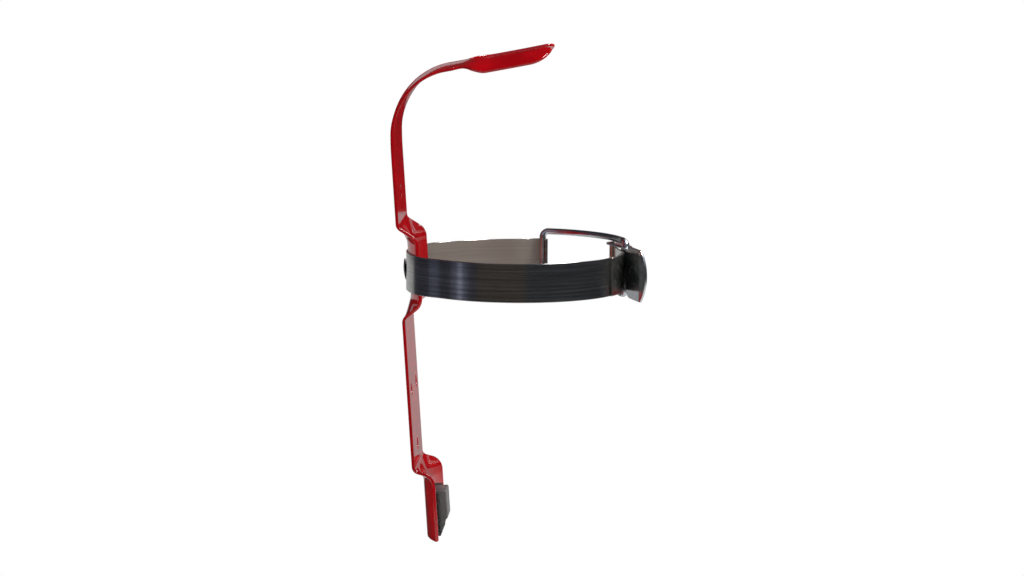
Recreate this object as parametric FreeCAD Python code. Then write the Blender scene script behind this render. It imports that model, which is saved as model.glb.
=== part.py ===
import FreeCAD, Part
import os
from math import asin, atan2, cos, degrees, radians, sin, sqrt, tan

# Wall bracket for a round cylinder: a folded strip with a neck fork, a hoop strap with an over-centre
# latch and a foot rest. X is the width of the strip, Y = 0 is the wall with the front towards -Y, and
# Z is up. The origin is the middle of the pair of screw holes, on the wall. Sizes are in millimetres.

os.makedirs("parts", exist_ok=True)
Vec = FreeCAD.Vector

# Strip: one stamped length of steel sheet
strip_width = 52.0
strip_sheet = 1.6
foot_bottom = -79.6
foot_joggle_top = -39.5
foot_joggle_height = 10.5
seat_joggle_low = 36.4
seat_joggle_height = 12.0
seat_height = 27.0
bend_start = 133.3
joggle_crease = 2.5
joggle_shoulder = 7.5
foot_corner = 1.5
joint_lead = 0.07
bend_lead = 12.0

# Troughs that take the round of the cylinder
trough_radius = 55.5
seat_depth = 3.3
foot_depth = 3.7

# Neck fork: the strip's top, bent over to the front and split into two tines
bend_inner_radius = 32.7
bend_angle = 83.2
tongue_length = 55.6
arm_arch = 1.35
arm_arch_from = -10.0
arm_arch_over = 31.0
arch_radius = 49.5
arch_from = 7.4
arch_over = 13.0
tip_curl = 0.4
tip_curl_from = 25.0
slot_width = 26.0
slot_from = 11.5
tine_outer_round = 12.0
tine_inner_round = 5.0
waist_depth = 1.6
waist_radius = 7.0
waist_from = 8.5

# Screw holes in the two wall sections
screw_hole_radius = 3.25
screw_pair_spacing = 28.0
low_hole_z = -31.0
high_hole_z = 102.0

# Hoop strap, in its own frame about the cylinder's axis
hoop_radius = 54.0
strap_sheet = 0.8
strap_height = 20.0
hoop_droop = 3.85
hoop_z = 61.3
seat_slack = 0.74
offset_span = 31.0
offset_run = 19.0
offset_slack = 0.07
offset_pull = 0.38
strap_end_angle = -91.0

# Hook at the far end of the strap: it steps outwards and rolls in round the wire
hook_from = 6.0
hook_angle = -11.0
hook_stand = 2.2
hook_clearance = 0.3
hook_wrap = 135.0

# Rivet that holds the strap to the seat
rivet_shank_radius = 2.5
rivet_fit = 0.1
rivet_slack = 0.6
rivet_head_radius = 5.6
rivet_head_height = 1.1
rivet_tail_radius = 4.2
rivet_tail_height = 0.5
rivet_seat_gap = 0.03

# Latch base: plate spot welded to the near end of the strap
base_sheet = 1.0
base_start_angle = -116.0
base_bend_angle = -88.0
base_lap = 0.05

# Lever, its hinge pin and the wire bail
hinge_angle = -57.76
hinge_stand = 4.29
bail_angle = -75.61
bail_stand = 4.49
pin_radius = 1.1
pin_clearance = 0.05
knuckle_wall = 0.9
lever_sheet = 1.2
ear_gap = 0.35
ear_window = 0.3
ear_round = 3.7
lever_height = 27.0
heel_angle = -89.0
heel_stand = 3.2
flare_length = 21.9
flare_angle = 199.2
lip_length = 5.5
lip_angle = 218.3
lever_end_rise = 4.7
wire_radius = 1.7
wire_bend = 2.9
wire_bend_pull = 0.5523
bail_height = 28.2
bail_curve_stand = 3.3
saddle_clearance = 0.1
saddle_wrap = 205.0
pin_head_radius = 1.9
pin_head_height = 0.5

# Foot rest: a moulded ledge over a foam pad, both bonded in the foot's trough
rest_width = 18.0
rest_reach = 14.1
rest_top = -55.8
rest_height = 17.4
rest_chamfer = 3.0
rest_round = 1.6
pad_width = 30.0
pad_reach = 10.6
pad_bottom = -78.6
bond_gap = 0.06

half_width = strip_width / 2
half_strap = strap_height / 2
seat_low = seat_joggle_low + seat_joggle_height
seat_high = seat_low + seat_height
seat_joggle_high = seat_high + seat_joggle_height
foot_low = foot_joggle_top - foot_joggle_height
front_plane = -strip_sheet


def save(shape, node):
    """Write one sub-part to its STEP file."""
    shape.exportStep("parts/" + node + ".step")


def fused(shapes):
    """Join solids that share faces into one clean solid."""
    joined = shapes[0].fuse(shapes[1:])
    return joined.removeSplitter()


def box(x_low, x_high, y_low, y_high, z_low, z_high):
    return Part.makeBox(x_high - x_low, y_high - y_low, z_high - z_low, Vec(x_low, y_low, z_low))


def prism(points, z_low, z_high):
    """Upright prism on a plan of corner points, given either way round."""
    area = sum(x * y_next - x_next * y for (x, y), (x_next, y_next) in zip(points, points[1:] + points[:1]))
    ordered = points if area > 0 else points[::-1]
    loop = Part.makePolygon([Vec(x, y, z_low) for x, y in ordered + ordered[:1]])
    return Part.Face(loop).extrude(Vec(0, 0, z_high - z_low))


def spread(low, high, count):
    """Evenly spaced values, both ends included."""
    return [low + (high - low) * i / (count - 1) for i in range(count)]


def joggle_point(forward, height, share):
    """Point on a bend, straight and counter-bend that step forward while they rise.

    share runs from 0 at the crease to 1 at the shoulder, and on along the straight sheet at either
    end. The result is (forward, up).
    """
    if share <= 0:
        return 0.0, share * height
    if share >= 1:
        return forward, share * height
    bends = joggle_crease + joggle_shoulder
    straight = sqrt((forward - bends) ** 2 + height ** 2 - bends ** 2)
    reach = bends ** 2 + straight ** 2
    slope = atan2((bends * height + straight * (forward - bends)) / reach,
                  (straight * height - bends * (forward - bends)) / reach)
    crease_length = joggle_crease * slope
    shoulder_length = joggle_shoulder * slope
    along = share * (crease_length + straight + shoulder_length)
    if along <= crease_length:
        turn = along / joggle_crease
        return joggle_crease * (1 - cos(turn)), joggle_crease * sin(turn)
    if along <= crease_length + straight:
        run = along - crease_length
        return (joggle_crease * (1 - cos(slope)) + run * sin(slope),
                joggle_crease * sin(slope) + run * cos(slope))
    turn = slope - (along - crease_length - straight) / joggle_shoulder
    return (forward - joggle_shoulder * (1 - cos(turn)),
            height - joggle_shoulder * sin(turn))


def trough_forward(x, depth):
    """How far a trough's front stands before the wall sections' front at x."""
    return depth + trough_radius - sqrt(trough_radius ** 2 - x ** 2)


def smooth_surface(rows):
    """Cubic surface that takes the grid of points as its control net, so it never ripples."""
    surface = Part.BSplineSurface()
    mults = []
    knots = []
    for count in (len(rows), len(rows[0])):
        mults.append([4] + [1] * (count - 4) + [4])
        knots.append([float(i) for i in range(count - 2)])
    surface.buildFromPolesMultsKnots(rows, mults[0], mults[1], knots[0], knots[1], False, False, 3, 3)
    return surface


def sheet_patch(point, across, along, thickness):
    """Solid of curved sheet: point(x, s) gives its front, and its back lies one thickness behind."""
    step = 1e-4
    front_rows = []
    back_rows = []
    for x in across:
        front = []
        back = []
        for s in along:
            way_up = point(x, s + step) - point(x, s - step)
            way_across = point(x + step, s) - point(x - step, s)
            inward = way_up.cross(way_across)
            inward.normalize()
            front.append(point(x, s))
            back.append(point(x, s) + inward * thickness)
        front_rows.append(front)
        back_rows.append(back)
    faces = []
    bounds = []
    for rows in (front_rows, back_rows):
        surface = smooth_surface(rows)
        u_low, u_high, v_low, v_high = surface.bounds()
        faces.append(surface.toShape())
        bounds.append([surface.uIso(u_low).toShape(), surface.uIso(u_high).toShape(),
                       surface.vIso(v_low).toShape(), surface.vIso(v_high).toShape()])
    for front_edge, back_edge in zip(bounds[0], bounds[1]):
        faces.append(Part.makeRuledSurface(front_edge, back_edge))
    shell = Part.makeShell(faces)
    shell.sewShape()
    solid = Part.makeSolid(shell)
    if solid.Volume < 0:
        solid.reverse()
    return solid


def trough_space(depth, z_low, z_high):
    """Round space in front of a trough, a bond's thickness clear of the sheet."""
    return Part.makeCylinder(trough_radius - bond_gap, z_high - z_low,
                             Vec(0, front_plane - depth - trough_radius, z_low))


def seat_point(x, s):
    """Front of the seat: s 0 to 1 is the lower joggle, 1 to 2 the seat and 2 to 3 the upper joggle."""
    forward = trough_forward(x, seat_depth)
    if s <= 1:
        out, up = joggle_point(forward, seat_joggle_height, s)
        return Vec(x, front_plane - out, seat_joggle_low + up)
    if s <= 2:
        return Vec(x, front_plane - forward, seat_low + (s - 1) * seat_height)
    out, up = joggle_point(forward, seat_joggle_height, 3 - s)
    return Vec(x, front_plane - out, seat_joggle_high - up)


def foot_point(x, s):
    """Front of the foot: s 0 to 1 is its trough from the bottom up and 1 to 2 the joggle above it."""
    forward = trough_forward(x, foot_depth)
    if s <= 1:
        return Vec(x, front_plane - forward, foot_bottom + s * (foot_low - foot_bottom))
    out, up = joggle_point(forward, foot_joggle_height, 2 - s)
    return Vec(x, front_plane - out, foot_joggle_top - up)


bend_length = radians(bend_angle) * bend_inner_radius
top_length = bend_length + tongue_length


def smooth(share):
    """Ease from 0 to 1."""
    share = min(max(share, 0.0), 1.0)
    return share * share * (3 - 2 * share)


def arch_drop(x, s):
    """How far the arched sheet lies in from its middle line.

    The arm and the bend are arched a little over the whole width. The tongue is arched to a circle
    that meets its straight line at the slot's sides, and the tips curl back up.
    """
    level = sqrt(arch_radius ** 2 - (slot_width / 2) ** 2)
    full = level - sqrt(arch_radius ** 2 - x ** 2)
    grown = smooth((s - bend_length - arch_from) / arch_over)
    arm = arm_arch * (x / half_width) ** 2 * smooth((s - arm_arch_from) / arm_arch_over)
    curl = max(s - bend_length - tip_curl_from, 0.0) / (tongue_length - tip_curl_from)
    return full * grown + arm * (1 - grown) - tip_curl * curl ** 2


def top_point(x, s):
    """Front and underside of the bent top, s millimetres along it from the start of the bend."""
    turn = min(max(s, 0.0) / bend_inner_radius, radians(bend_angle))
    run = max(s - bend_length, 0.0)
    drop = arch_drop(x, s)
    out = bend_inner_radius * (1 - cos(turn)) + run * sin(turn) + drop * cos(turn)
    up = min(s, 0.0) + bend_inner_radius * sin(turn) + run * cos(turn) - drop * sin(turn)
    return Vec(x, front_plane - out, bend_start + up)


# Tongue frame: x across, y along the tongue from the end of the bend, z square to the sheet
tongue_root = top_point(0, bend_length)
tongue_frame = FreeCAD.Placement(tongue_root, FreeCAD.Rotation(Vec(1, 0, 0), -(90 - bend_angle)))


def tongue_cutter(points):
    """Tall prism on a plan in the tongue's frame, y being minus the way along the tongue."""
    cutter = prism(points, -30.0, 30.0)
    cutter.Placement = tongue_frame
    return cutter


def tongue_cylinder(x, along, radius):
    cutter = Part.makeCylinder(radius, 60.0, Vec(x, -along, -30.0))
    cutter.Placement = tongue_frame
    return cutter


def corner_cutter(x, along, radius, side):
    """What a rounded corner at (x, along) takes off, with the tine on the given side of x."""
    far = along + 20.0
    block = tongue_cutter([(x, -along + radius), (x - side * radius, -along + radius),
                           (x - side * radius, -far), (x + side * 10.0, -far),
                           (x + side * 10.0, -along + radius)])
    return block.cut(tongue_cylinder(x - side * radius, along - radius, radius))


def back_plate():
    """The folded strip with its fork, seat, foot and holes."""
    across = spread(-half_width, half_width, 15)
    joggle_rows = spread(0, 1, 15)
    seat_rows = [-joint_lead] + joggle_rows + spread(1, 2, 14)[1:-1] + [2 + s for s in joggle_rows] + [3 + joint_lead]
    foot_rows = spread(0, 1, 15)[:-1] + [1 + s for s in joggle_rows] + [2 + joint_lead]
    top_rows = spread(-bend_lead, 0, 10)[:-1] + spread(0, bend_length, 30)[:-1] + spread(bend_length, top_length, 36)
    seat = sheet_patch(seat_point, across, seat_rows, strip_sheet)
    foot = sheet_patch(foot_point, across, foot_rows, strip_sheet)
    top = sheet_patch(top_point, across, top_rows, strip_sheet)
    foot_lead = joint_lead * foot_joggle_height
    seat_lead = joint_lead * seat_joggle_height
    lower_wall = box(-half_width, half_width, front_plane, 0, foot_joggle_top + foot_lead,
                     seat_joggle_low - seat_lead)
    upper_wall = box(-half_width, half_width, front_plane, 0, seat_joggle_high + seat_lead,
                     bend_start - bend_lead)

    slot_half = slot_width / 2
    slot = tongue_cutter([(-slot_half, -slot_from - slot_half), (slot_half, -slot_from - slot_half),
                          (slot_half, -tongue_length - 10), (-slot_half, -tongue_length - 10)])
    top = top.cut([slot, tongue_cylinder(0, slot_from + slot_half, slot_half)])
    for side in (-1, 1):
        top = top.cut([corner_cutter(side * half_width, tongue_length, tine_outer_round, side),
                       corner_cutter(side * slot_half, tongue_length, tine_inner_round, -side)])
        waist = tongue_cylinder(side * (half_width + waist_radius - waist_depth), waist_from, waist_radius)
        top = top.cut(waist)

    for side in (-1, 1):
        corner = box(half_width - foot_corner, half_width + 1, -60, 10, foot_bottom - 1,
                     foot_bottom + foot_corner)
        rounding = Part.makeCylinder(foot_corner, 80, Vec(half_width - foot_corner, -65,
                                                          foot_bottom + foot_corner), Vec(0, 1, 0))
        corner = corner.cut(rounding)
        if side < 0:
            corner = corner.mirror(Vec(0, 0, 0), Vec(1, 0, 0))
        foot = foot.cut(corner)

    plate = lower_wall.fuse([seat, upper_wall, top, foot])
    holes = [(-screw_pair_spacing / 2, 0), (screw_pair_spacing / 2, 0), (0, low_hole_z), (0, high_hole_z)]
    for x, z in holes:
        plate = plate.cut(Part.makeCylinder(screw_hole_radius, 10, Vec(x, -5, z), Vec(0, 1, 0)))
    return plate.cut(Part.makeCylinder(rivet_shank_radius + rivet_fit, 20, Vec(0, -12, hoop_z), Vec(0, 1, 0)))


# The hoop hangs from the rivet and droops to the front, so its frame is tipped about X
seat_back = front_plane - seat_depth + strip_sheet
offset_radius = hoop_radius + 2 * seat_slack + strip_sheet + offset_slack
tip = radians(hoop_droop)
hoop_centre = Vec(0, seat_back + seat_slack - offset_radius * cos(tip), hoop_z - offset_radius * sin(tip))
hoop_frame = FreeCAD.Placement(hoop_centre, FreeCAD.Rotation(Vec(1, 0, 0), hoop_droop))


def hung(shape):
    """Move a shape from the hoop's frame to the bracket's."""
    placed = shape.copy()
    placed.Placement = hoop_frame
    return placed


def polar(radius, angle, centre=Vec(0, 0, 0)):
    """Point at an angle in degrees from +X about a centre, in plan."""
    return Vec(centre.x + radius * cos(radians(angle)), centre.y + radius * sin(radians(angle)), 0)


def arc_edge(centre, radius, start, end):
    """Arc from one angle to another, either way round."""
    return Part.Arc(polar(radius, start, centre), polar(radius, (start + end) / 2, centre),
                    polar(radius, end, centre)).toShape()


def band(edges_a, edges_b, height):
    """Upright band between two chains of plan edges that run the same way."""
    first = [edge.firstVertex().Point for edge in (edges_a[0], edges_b[0])]
    last = [edge.lastVertex().Point for edge in (edges_a[-1], edges_b[-1])]
    caps = [Part.makeLine(first[0], first[1]), Part.makeLine(last[0], last[1])]
    loop = Part.Wire(Part.__sortEdges__(edges_a + edges_b + caps))
    face = Part.Face(loop)
    face.translate(Vec(0, 0, -height / 2))
    return face.extrude(Vec(0, 0, height))


def arc_band(centre, inner, outer, start, end, height):
    """Upright band that follows an arc."""
    return band([arc_edge(centre, inner, start, end)], [arc_edge(centre, outer, start, end)], height)


def line_band(start, end, left, right, height):
    """Upright plate along a plan line, reaching left and right of it."""
    way = (end - start).normalize()
    side = Vec(-way.y, way.x, 0)
    corners = [start + side * left, end + side * left, end - side * right, start - side * right]
    return prism([(p.x, p.y) for p in corners], -height / 2, height / 2)


def ogee(radius_a, angle_a, radius_b, angle_b):
    """Smooth plan curve between points on two circles about the hoop's axis, square to neither's radius."""
    start = polar(radius_a, angle_a)
    end = polar(radius_b, angle_b)
    turn = 1 if angle_b > angle_a else -1
    pull = (end - start).Length * offset_pull
    curve = Part.BezierCurve()
    curve.setPoles([start, start + polar(pull, angle_a + 90 * turn), end - polar(pull, angle_b + 90 * turn), end])
    return curve.toShape()


hook_inner = wire_radius + hook_clearance
hook_centre = polar(hoop_radius + hook_stand, hook_angle)


def clamp_band():
    """The spring strap: a hoop that steps out behind the seat and ends in a rolled hook."""
    ring = (hoop_radius, hoop_radius + strap_sheet)
    rear = (offset_radius, offset_radius + strap_sheet)
    rear_low = 90 - offset_span
    rear_high = 90 + offset_span
    pieces = [
        arc_band(Vec(0, 0, 0), ring[0], ring[1], rear_high + offset_run, 360 + strap_end_angle, strap_height),
        arc_band(Vec(0, 0, 0), rear[0], rear[1], rear_low, rear_high, strap_height),
        arc_band(Vec(0, 0, 0), ring[0], ring[1], hook_from, rear_low - offset_run, strap_height),
        arc_band(hook_centre, hook_inner, hook_inner + strap_sheet, hook_angle - hook_wrap, hook_angle,
                 strap_height),
    ]
    hook_low = hoop_radius + hook_stand + hook_inner
    pieces.append(band([ogee(ring[0], hook_from, hook_low, hook_angle)],
                       [ogee(ring[1], hook_from, hook_low + strap_sheet, hook_angle)], strap_height))
    for rear_angle, turn in ((rear_high, 1), (rear_low, -1)):
        ring_angle = rear_angle + turn * offset_run
        pieces.append(band([ogee(rear[0], rear_angle, ring[0], ring_angle)],
                           [ogee(rear[1], rear_angle, ring[1], ring_angle)], strap_height))
    strap = fused(pieces)
    hole = Part.makeCylinder(rivet_shank_radius + rivet_slack, 20, Vec(0, offset_radius - 10, 0), Vec(0, 1, 0))
    return hung(strap.cut(hole))


def band_rivet():
    """Domed rivet: its head bears on the strap and its flat tail lies in the seat."""
    tail_face = front_plane - seat_depth
    head_face = seat_back + seat_slack + strap_sheet + rivet_head_radius * tan(tip) + rivet_seat_gap
    dome = (rivet_head_radius ** 2 + rivet_head_height ** 2) / (2 * rivet_head_height)
    ball = Part.makeSphere(dome, Vec(0, head_face + rivet_head_height - dome, hoop_z))
    disc = Part.makeCylinder(rivet_head_radius, rivet_head_height, Vec(0, head_face, hoop_z), Vec(0, 1, 0))
    shank = Part.makeCylinder(rivet_shank_radius, head_face - tail_face + rivet_seat_gap + 2 * bond_gap,
                              Vec(0, tail_face - 2 * bond_gap, hoop_z), Vec(0, 1, 0))
    tail = Part.makeCylinder(rivet_tail_radius, rivet_tail_height, Vec(0, tail_face - rivet_tail_height, hoop_z),
                             Vec(0, 1, 0))
    tail = tail.common(trough_space(seat_depth, hoop_z - rivet_tail_radius, hoop_z + rivet_tail_radius))
    return fused([ball.common(disc), shank, tail])


hinge_at = polar(hoop_radius + hinge_stand, hinge_angle)
bail_at = polar(hoop_radius + bail_stand, bail_angle)
heel_at = polar(hoop_radius + heel_stand, heel_angle)
flare_end = heel_at + polar(flare_length, flare_angle)
lip_end = flare_end + polar(lip_length, lip_angle)
knuckle_inner = pin_radius + pin_clearance
knuckle_outer = knuckle_inner + knuckle_wall


def latch_base():
    """Plate on the strap's near end that runs off straight and rolls round the hinge pin."""
    inner = hoop_radius + strap_sheet + base_lap
    lap = arc_band(Vec(0, 0, 0), inner, inner + base_sheet, 360 + base_start_angle, 360 + base_bend_angle,
                   strap_height)
    bend = polar(inner + base_sheet / 2, base_bend_angle)
    plate = line_band(bend, hinge_at, base_sheet / 2, base_sheet / 2, strap_height)
    roll = Part.makeCylinder(knuckle_outer, strap_height, hinge_at - Vec(0, 0, half_strap))
    joint = Part.makeCylinder(base_sheet / 2, strap_height, bend - Vec(0, 0, half_strap))
    base = fused([lap, joint, plate, roll])
    bore = Part.makeCylinder(knuckle_inner, strap_height + 2, hinge_at - Vec(0, 0, half_strap + 1))
    return hung(base.cut(bore))


saddle_inner = wire_radius + saddle_clearance
saddle_outer = saddle_inner + lever_sheet
ear_inner = half_strap + ear_gap
ear_outer = ear_inner + lever_sheet


def direction(start, end):
    return degrees(atan2(end.y - start.y, end.x - start.x))


def lever():
    """Flared thumb plate with a rolled saddle for the wire and two ears that reach the hinge."""
    web_height = 2 * ear_outer
    half = lever_sheet / 2
    middle = saddle_inner + half
    saddle_start = direction(bail_at, heel_at) + 90 - degrees(asin(middle / (heel_at - bail_at).Length))
    touch = polar(middle, saddle_start, bail_at)
    saddle = arc_band(bail_at, saddle_inner, saddle_outer, saddle_start, saddle_start - saddle_wrap, web_height)
    root = line_band(touch, heel_at, half, half, web_height)
    flare = line_band(heel_at, flare_end, half, half, lever_height)
    lip = line_band(flare_end, lip_end, half, half, lever_height)
    lip_way = polar(1, lip_angle)
    lip_normal = polar(1, lip_angle + 90)
    end_radius = (lever_height ** 2 / 4 + lever_end_rise ** 2) / (2 * lever_end_rise)
    lip = lip.common(Part.makeCylinder(end_radius, 4 * lever_sheet,
                                       lip_end - lip_way * end_radius - lip_normal * 2 * lever_sheet,
                                       lip_normal))
    bends = [Part.makeCylinder(half, lever_height, p - Vec(0, 0, lever_height / 2))
             for p in (flare_end, heel_at)]
    ears = []
    for z_low in (ear_inner, -ear_outer):
        plan = fused([
            Part.makeCylinder(ear_round, lever_sheet, hinge_at + Vec(0, 0, z_low)),
            Part.makeCylinder(saddle_outer, lever_sheet, bail_at + Vec(0, 0, z_low)),
            ear_web(hinge_at, ear_round, bail_at, saddle_outer, z_low),
            ear_web(bail_at, saddle_outer, heel_at, half, z_low),
        ])
        holes = [Part.makeCylinder(radius, lever_sheet, place + Vec(0, 0, z_low))
                 for radius, place in ((knuckle_inner, hinge_at), (saddle_inner + ear_window, bail_at))]
        ears.append(plan.cut(holes))
    return hung(fused([saddle, root, flare, lip] + bends + ears))


def ear_web(start, start_radius, end, end_radius, z_low):
    """Flat plate between two round ends, inside their outer tangents."""
    gap = (end - start).Length
    lean = degrees(asin((start_radius - end_radius) / gap))
    way = direction(start, end)
    corners = [polar(start_radius, way + 90 - lean, start), polar(end_radius, way + 90 - lean, end),
               polar(end_radius, way - 90 + lean, end), polar(start_radius, way - 90 + lean, start)]
    return prism([(p.x, p.y) for p in corners], z_low, z_low + lever_sheet)


def lever_pin():
    """Hinge pin with both ends headed over the ears."""
    length = 2 * ear_outer
    shank = Part.makeCylinder(pin_radius, length, hinge_at - Vec(0, 0, ear_outer))
    heads = [Part.makeCylinder(pin_head_radius, pin_head_height, hinge_at + Vec(0, 0, z))
             for z in (ear_outer, -ear_outer - pin_head_height)]
    return hung(fused([shank] + heads))


def bail():
    """Closed loop of wire: two legs that follow the hoop, one end in the hook and one in the saddle."""
    half = bail_height / 2
    curve = hoop_radius + bail_curve_stand
    rod = []
    chord = bail_at - hook_centre
    middle = (bail_at + hook_centre) * 0.5
    outward = middle * (1 / middle.Length)
    bulge = curve - sqrt(curve ** 2 - (chord.Length / 2) ** 2)
    crown = middle + outward * bulge
    centre = crown - outward * curve
    trim = degrees(wire_bend / curve)
    start = direction(centre, hook_centre)
    end = direction(centre, bail_at)
    turn = 1 if end > start else -1
    leg_start = start + turn * trim
    leg_end = end - turn * trim
    for z in (half, -half):
        leg = arc_edge(centre, curve, leg_start, leg_end)
        leg.translate(Vec(0, 0, z))
        rod.append(leg)
    for foot, leg_angle in ((hook_centre, leg_start), (bail_at, leg_end)):
        rod.append(Part.makeLine(foot - Vec(0, 0, half - wire_bend), foot + Vec(0, 0, half - wire_bend)))
        for side in (1, -1):
            low = foot + Vec(0, 0, side * (half - wire_bend))
            high = polar(curve, leg_angle, centre) + Vec(0, 0, side * half)
            way = high - Vec(low.x, low.y, high.z)
            pull = wire_bend * wire_bend_pull
            corner = Part.BezierCurve()
            tangent = polar(1, leg_angle + 90)
            if tangent.dot(way) < 0:
                tangent = tangent * -1
            corner.setPoles([low, low + Vec(0, 0, side * pull), high - tangent * pull, high])
            rod.append(corner.toShape())
    path = Part.Wire(Part.__sortEdges__(rod))
    first = path.OrderedEdges[0]
    start_point = first.valueAt(first.FirstParameter)
    start_way = first.tangentAt(first.FirstParameter)
    section = Part.Wire(Part.makeCircle(wire_radius, start_point, start_way))
    loop = path.makePipeShell([section], True, True)
    return hung(loop)


def rest_block():
    """Moulded ledge in the foot's trough, chamfered under its front."""
    front = front_plane - rest_reach
    low = rest_top - rest_height
    profile = [(front_plane, rest_top), (front, rest_top), (front, low + rest_chamfer),
               (front + rest_chamfer, low), (front_plane, low)]
    loop = Part.makePolygon([Vec(-rest_width / 2, y, z) for y, z in profile + profile[:1]])
    block = Part.Face(loop).extrude(Vec(rest_width, 0, 0))
    block = block.common(trough_space(foot_depth, low, rest_top))
    upright = [e for e in block.Edges if abs(e.tangentAt(e.FirstParameter).z) > 0.99
               and e.CenterOfMass.y < front + 0.1]
    return block.makeFillet(rest_round, upright)


def foam_pad():
    """Foam pad that fills the trough under and behind the ledge."""
    front = front_plane - pad_reach
    top = rest_top - bond_gap
    pad = box(-pad_width / 2, pad_width / 2, front, front_plane, pad_bottom, top)
    pocket = box(-rest_width / 2 - bond_gap, rest_width / 2 + bond_gap, front - 1, 0,
                 rest_top - rest_height - bond_gap, rest_top + 1)
    return pad.common(trough_space(foot_depth, pad_bottom, top)).cut(pocket)


save(back_plate(), "back_plate")
save(clamp_band(), "clamp_band")
save(band_rivet(), "band_rivet")
save(latch_base(), "latch_base")
save(lever(), "lever")
save(lever_pin(), "lever_pin")
save(bail(), "bail")
save(rest_block(), "rest_block")
save(foam_pad(), "foam_pad")
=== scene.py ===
import bpy
import numpy as np
from math import asin, atan2, ceil, cos, degrees, hypot, pi, radians, sin, sqrt
from mathutils import Matrix, Vector


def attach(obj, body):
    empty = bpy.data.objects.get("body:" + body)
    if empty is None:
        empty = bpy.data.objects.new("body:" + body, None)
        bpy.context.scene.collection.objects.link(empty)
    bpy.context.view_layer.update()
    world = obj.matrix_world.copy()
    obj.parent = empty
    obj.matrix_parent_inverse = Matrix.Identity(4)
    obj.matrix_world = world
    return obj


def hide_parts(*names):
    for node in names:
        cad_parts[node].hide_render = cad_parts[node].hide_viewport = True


# Wall bracket for a round cylinder: a folded and painted strip, a spring strap with an over-centre
# latch, and a moulded foot rest over foam. Lengths are in millimetres as in the part's source, angles
# in degrees, and addMesh turns points into metres. X runs across the strip, -Y to the front, Z up.

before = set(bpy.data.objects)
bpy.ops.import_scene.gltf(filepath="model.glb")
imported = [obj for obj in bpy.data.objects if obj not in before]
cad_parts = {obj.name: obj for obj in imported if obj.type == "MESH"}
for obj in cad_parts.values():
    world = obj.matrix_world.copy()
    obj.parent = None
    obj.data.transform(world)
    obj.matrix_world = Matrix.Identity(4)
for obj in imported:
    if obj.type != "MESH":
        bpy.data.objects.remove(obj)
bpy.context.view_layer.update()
metre = 0.001


# Meshes from grids of points

def gridQuads(rows, columns, start=0):
    # quads between neighbouring points of a grid whose numbering begins at start
    index = start + np.arange(rows * columns).reshape(rows, columns)
    return np.stack([index[:-1, :-1], index[:-1, 1:], index[1:, 1:], index[1:, :-1]], axis=-1)


def splitFaces(quads):
    # quads with two corners in one place become triangles, and flat ones go
    same = quads == np.roll(quads, -1, axis=1)
    count = same.sum(axis=1)
    pinched = quads[count == 1]
    spot = same[count == 1].argmax(axis=1)
    order = (spot[:, None] + np.array([1, 2, 3])) % 4
    return [quads[count == 0], np.take_along_axis(pinched, order, axis=1)]


def weld(points, quads):
    # points that fall together share one number
    _, pick, back = np.unique(np.round(points + 1.3e-5, 4), axis=0, return_index=True, return_inverse=True)
    return pick, back.ravel()[quads]


def addMesh(name, points, faces, marks=None):
    # makes the object; marks is one vector for each point, kept as an attribute for the materials
    mesh = bpy.data.meshes.new(name)
    mesh.from_pydata((points * metre).tolist(), [], [face for block in faces for face in block.tolist()])
    mesh.polygons.foreach_set("use_smooth", np.ones(len(mesh.polygons), bool))
    if marks is not None:
        layer = mesh.attributes.new("marks", "FLOAT_VECTOR", "POINT")
        layer.data.foreach_set("vector", marks.astype(np.float32).ravel())
    piece = bpy.data.objects.new(name, mesh)
    bpy.context.scene.collection.objects.link(piece)
    return piece


def joinParts(parts):
    # lays several (points, faces, marks) lists after one another
    points, faces, marks, count = [], [], [], 0
    for partPoints, partFaces, partMarks in parts:
        points.append(partPoints)
        marks.append(partMarks)
        faces += [block + count for block in partFaces]
        count += len(partPoints)
    return np.concatenate(points), faces, np.concatenate(marks)


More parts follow.
